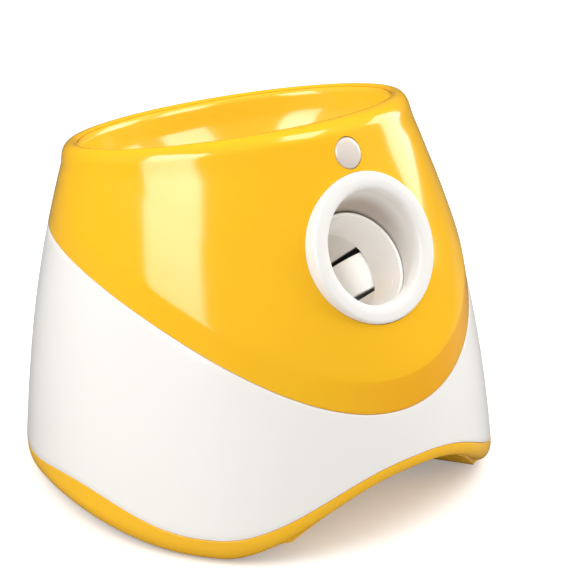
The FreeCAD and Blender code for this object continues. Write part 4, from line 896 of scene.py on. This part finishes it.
dim = ramp(tree, seen["Is Glossy Ray"], 0.0, 1.0, ROOM_LIGHT, ROOM_GLOSS)
wire(tree, tree.nodes["Background"], {"Color": (1, 1, 1, 1),
                                      "Strength": calc(tree, "MAXIMUM", seen["Is Camera Ray"], dim)})

# %% [markdown]
# ## Lamps
# A key lamp at the left, a fill at the right and a top lamp light the colours evenly and aren't mirrored.
# A tall strip runs down the yellow shell as a reflection that fades towards its foot, and a patch lies
# on the right shoulder. Two lamps draw the streaks in the bowl and one the thin line along the rim.
# Two more look into the port, one at the wheels and one at the barrel. Each lamp is placed as it is
# seen from the spot that it lights.

# %% Soft boxes
LAMP_DISTANCE = 1.25


def faded(light, low, edge):
    """Dims a soft box to a share of its strength at the lower end, and softens its upright edges."""
    light.use_nodes = True
    tree = light.node_tree
    spot = tree.nodes.new("ShaderNodeNewGeometry").outputs["Parametric"]
    sides = add(tree, "ShaderNodeSeparateXYZ", {"Vector": spot}).outputs
    down = ramp(tree, sides["Y"], 0.0, 1.0, low, 1.0)
    off = calc(tree, "ABSOLUTE", calc(tree, "SUBTRACT", sides["X"], 0.5))
    across = ramp(tree, off, 0.5, 0.5 - edge)
    wire(tree, tree.nodes["Emission"], {"Strength": calc(tree, "MULTIPLY", down, across)})


def soft_box(name, seen_from, azimuth, elevation, wide, tall, radiance, gloss=True, fill=True, only_for=(),
             fade=None):
    """Area light as seen from a point on the machine: its direction and its width and height in degrees."""
    a, e = math.radians(azimuth), math.radians(elevation)
    way = Vector((math.sin(a) * math.cos(e), -math.cos(a) * math.cos(e), math.sin(e)))
    light = bpy.data.lights.new(name, "AREA")
    light.shape = "RECTANGLE"
    light.size, light.size_y = (2 * LAMP_DISTANCE * math.tan(math.radians(x / 2)) for x in (wide, tall))
    light.energy = radiance * math.pi * light.size * light.size_y
    lamp = bpy.data.objects.new(name, light)
    bpy.context.scene.collection.objects.link(lamp)
    lamp.location = Vector(seen_from) * 0.001 + LAMP_DISTANCE * way
    lamp.rotation_euler = (-way).to_track_quat("-Z", "Y").to_euler()
    lamp.visible_camera = False
    lamp.visible_glossy = gloss
    lamp.visible_diffuse = fill
    if only_for:
        group = bpy.data.collections.new(name)
        for piece in only_for:
            group.objects.link(piece)
        lamp.light_linking.receiver_collection = group
    if fade:
        faded(light, *fade)


soft_box("key", (0, 0, 120), -100, 42, 50, 50, 2.15, gloss=False)
soft_box("fill", (0, 0, 120), 72, 36, 50, 50, 2.4, gloss=False)
soft_box("top", (0, 0, 200), -10, 80, 50, 50, 0.9, gloss=False)
soft_box("tall strip left", (-100, -57, 177), -71.5, 28, 37, 48, 10.5, fill=False, fade=(0.3, 0.1))
soft_box("patch right", (58, -75, 205), 88, 17, 26, 34, 3.6, fill=False)
soft_box("bowl streak", (20, 85, 195), 24, 26, 28, 44, 7.0, fill=False, only_for=[bowl])
soft_box("bowl streak at the left", (-40, 80, 195), 68, 16, 20, 36, 6.0, fill=False, only_for=[bowl])
wheels = tyres + [nodes[part + side] for part in ("flywheel_", "wheel_guard_") for side in ("left", "right")]
soft_box("onto the wheel", (0, -80, 140), -38, 28, 26, 26, 14.5, only_for=wheels)
soft_box("into the barrel", (0, -80, 140), -38, 28, 26, 26, 6.2, only_for=[nodes["launch_barrel"]])
soft_box("rim line", (-30, -76, 227), 68, 66, 30, 16, 6.0, fill=False, only_for=[shell_top])

# %% Camera
CAMERA_AIM, CAMERA_WAY = Vector((0.01165, -0.02080, 0.11028)), Vector((-0.5946, -0.7099, 0.3774))
CAMERA_DISTANCE, LENS, SENSOR = 1.0889, 113.1, 36.0
camera = bpy.data.objects.new("camera", bpy.data.cameras.new("camera"))
bpy.context.scene.collection.objects.link(camera)
camera.location = CAMERA_AIM + CAMERA_DISTANCE * CAMERA_WAY
camera.rotation_euler = (CAMERA_AIM - camera.location).to_track_quat("-Z", "Y").to_euler()
camera.data.lens, camera.data.sensor_width = LENS, SENSOR
bpy.context.scene.camera = camera
bpy.context.scene.view_settings.view_transform = "Standard"
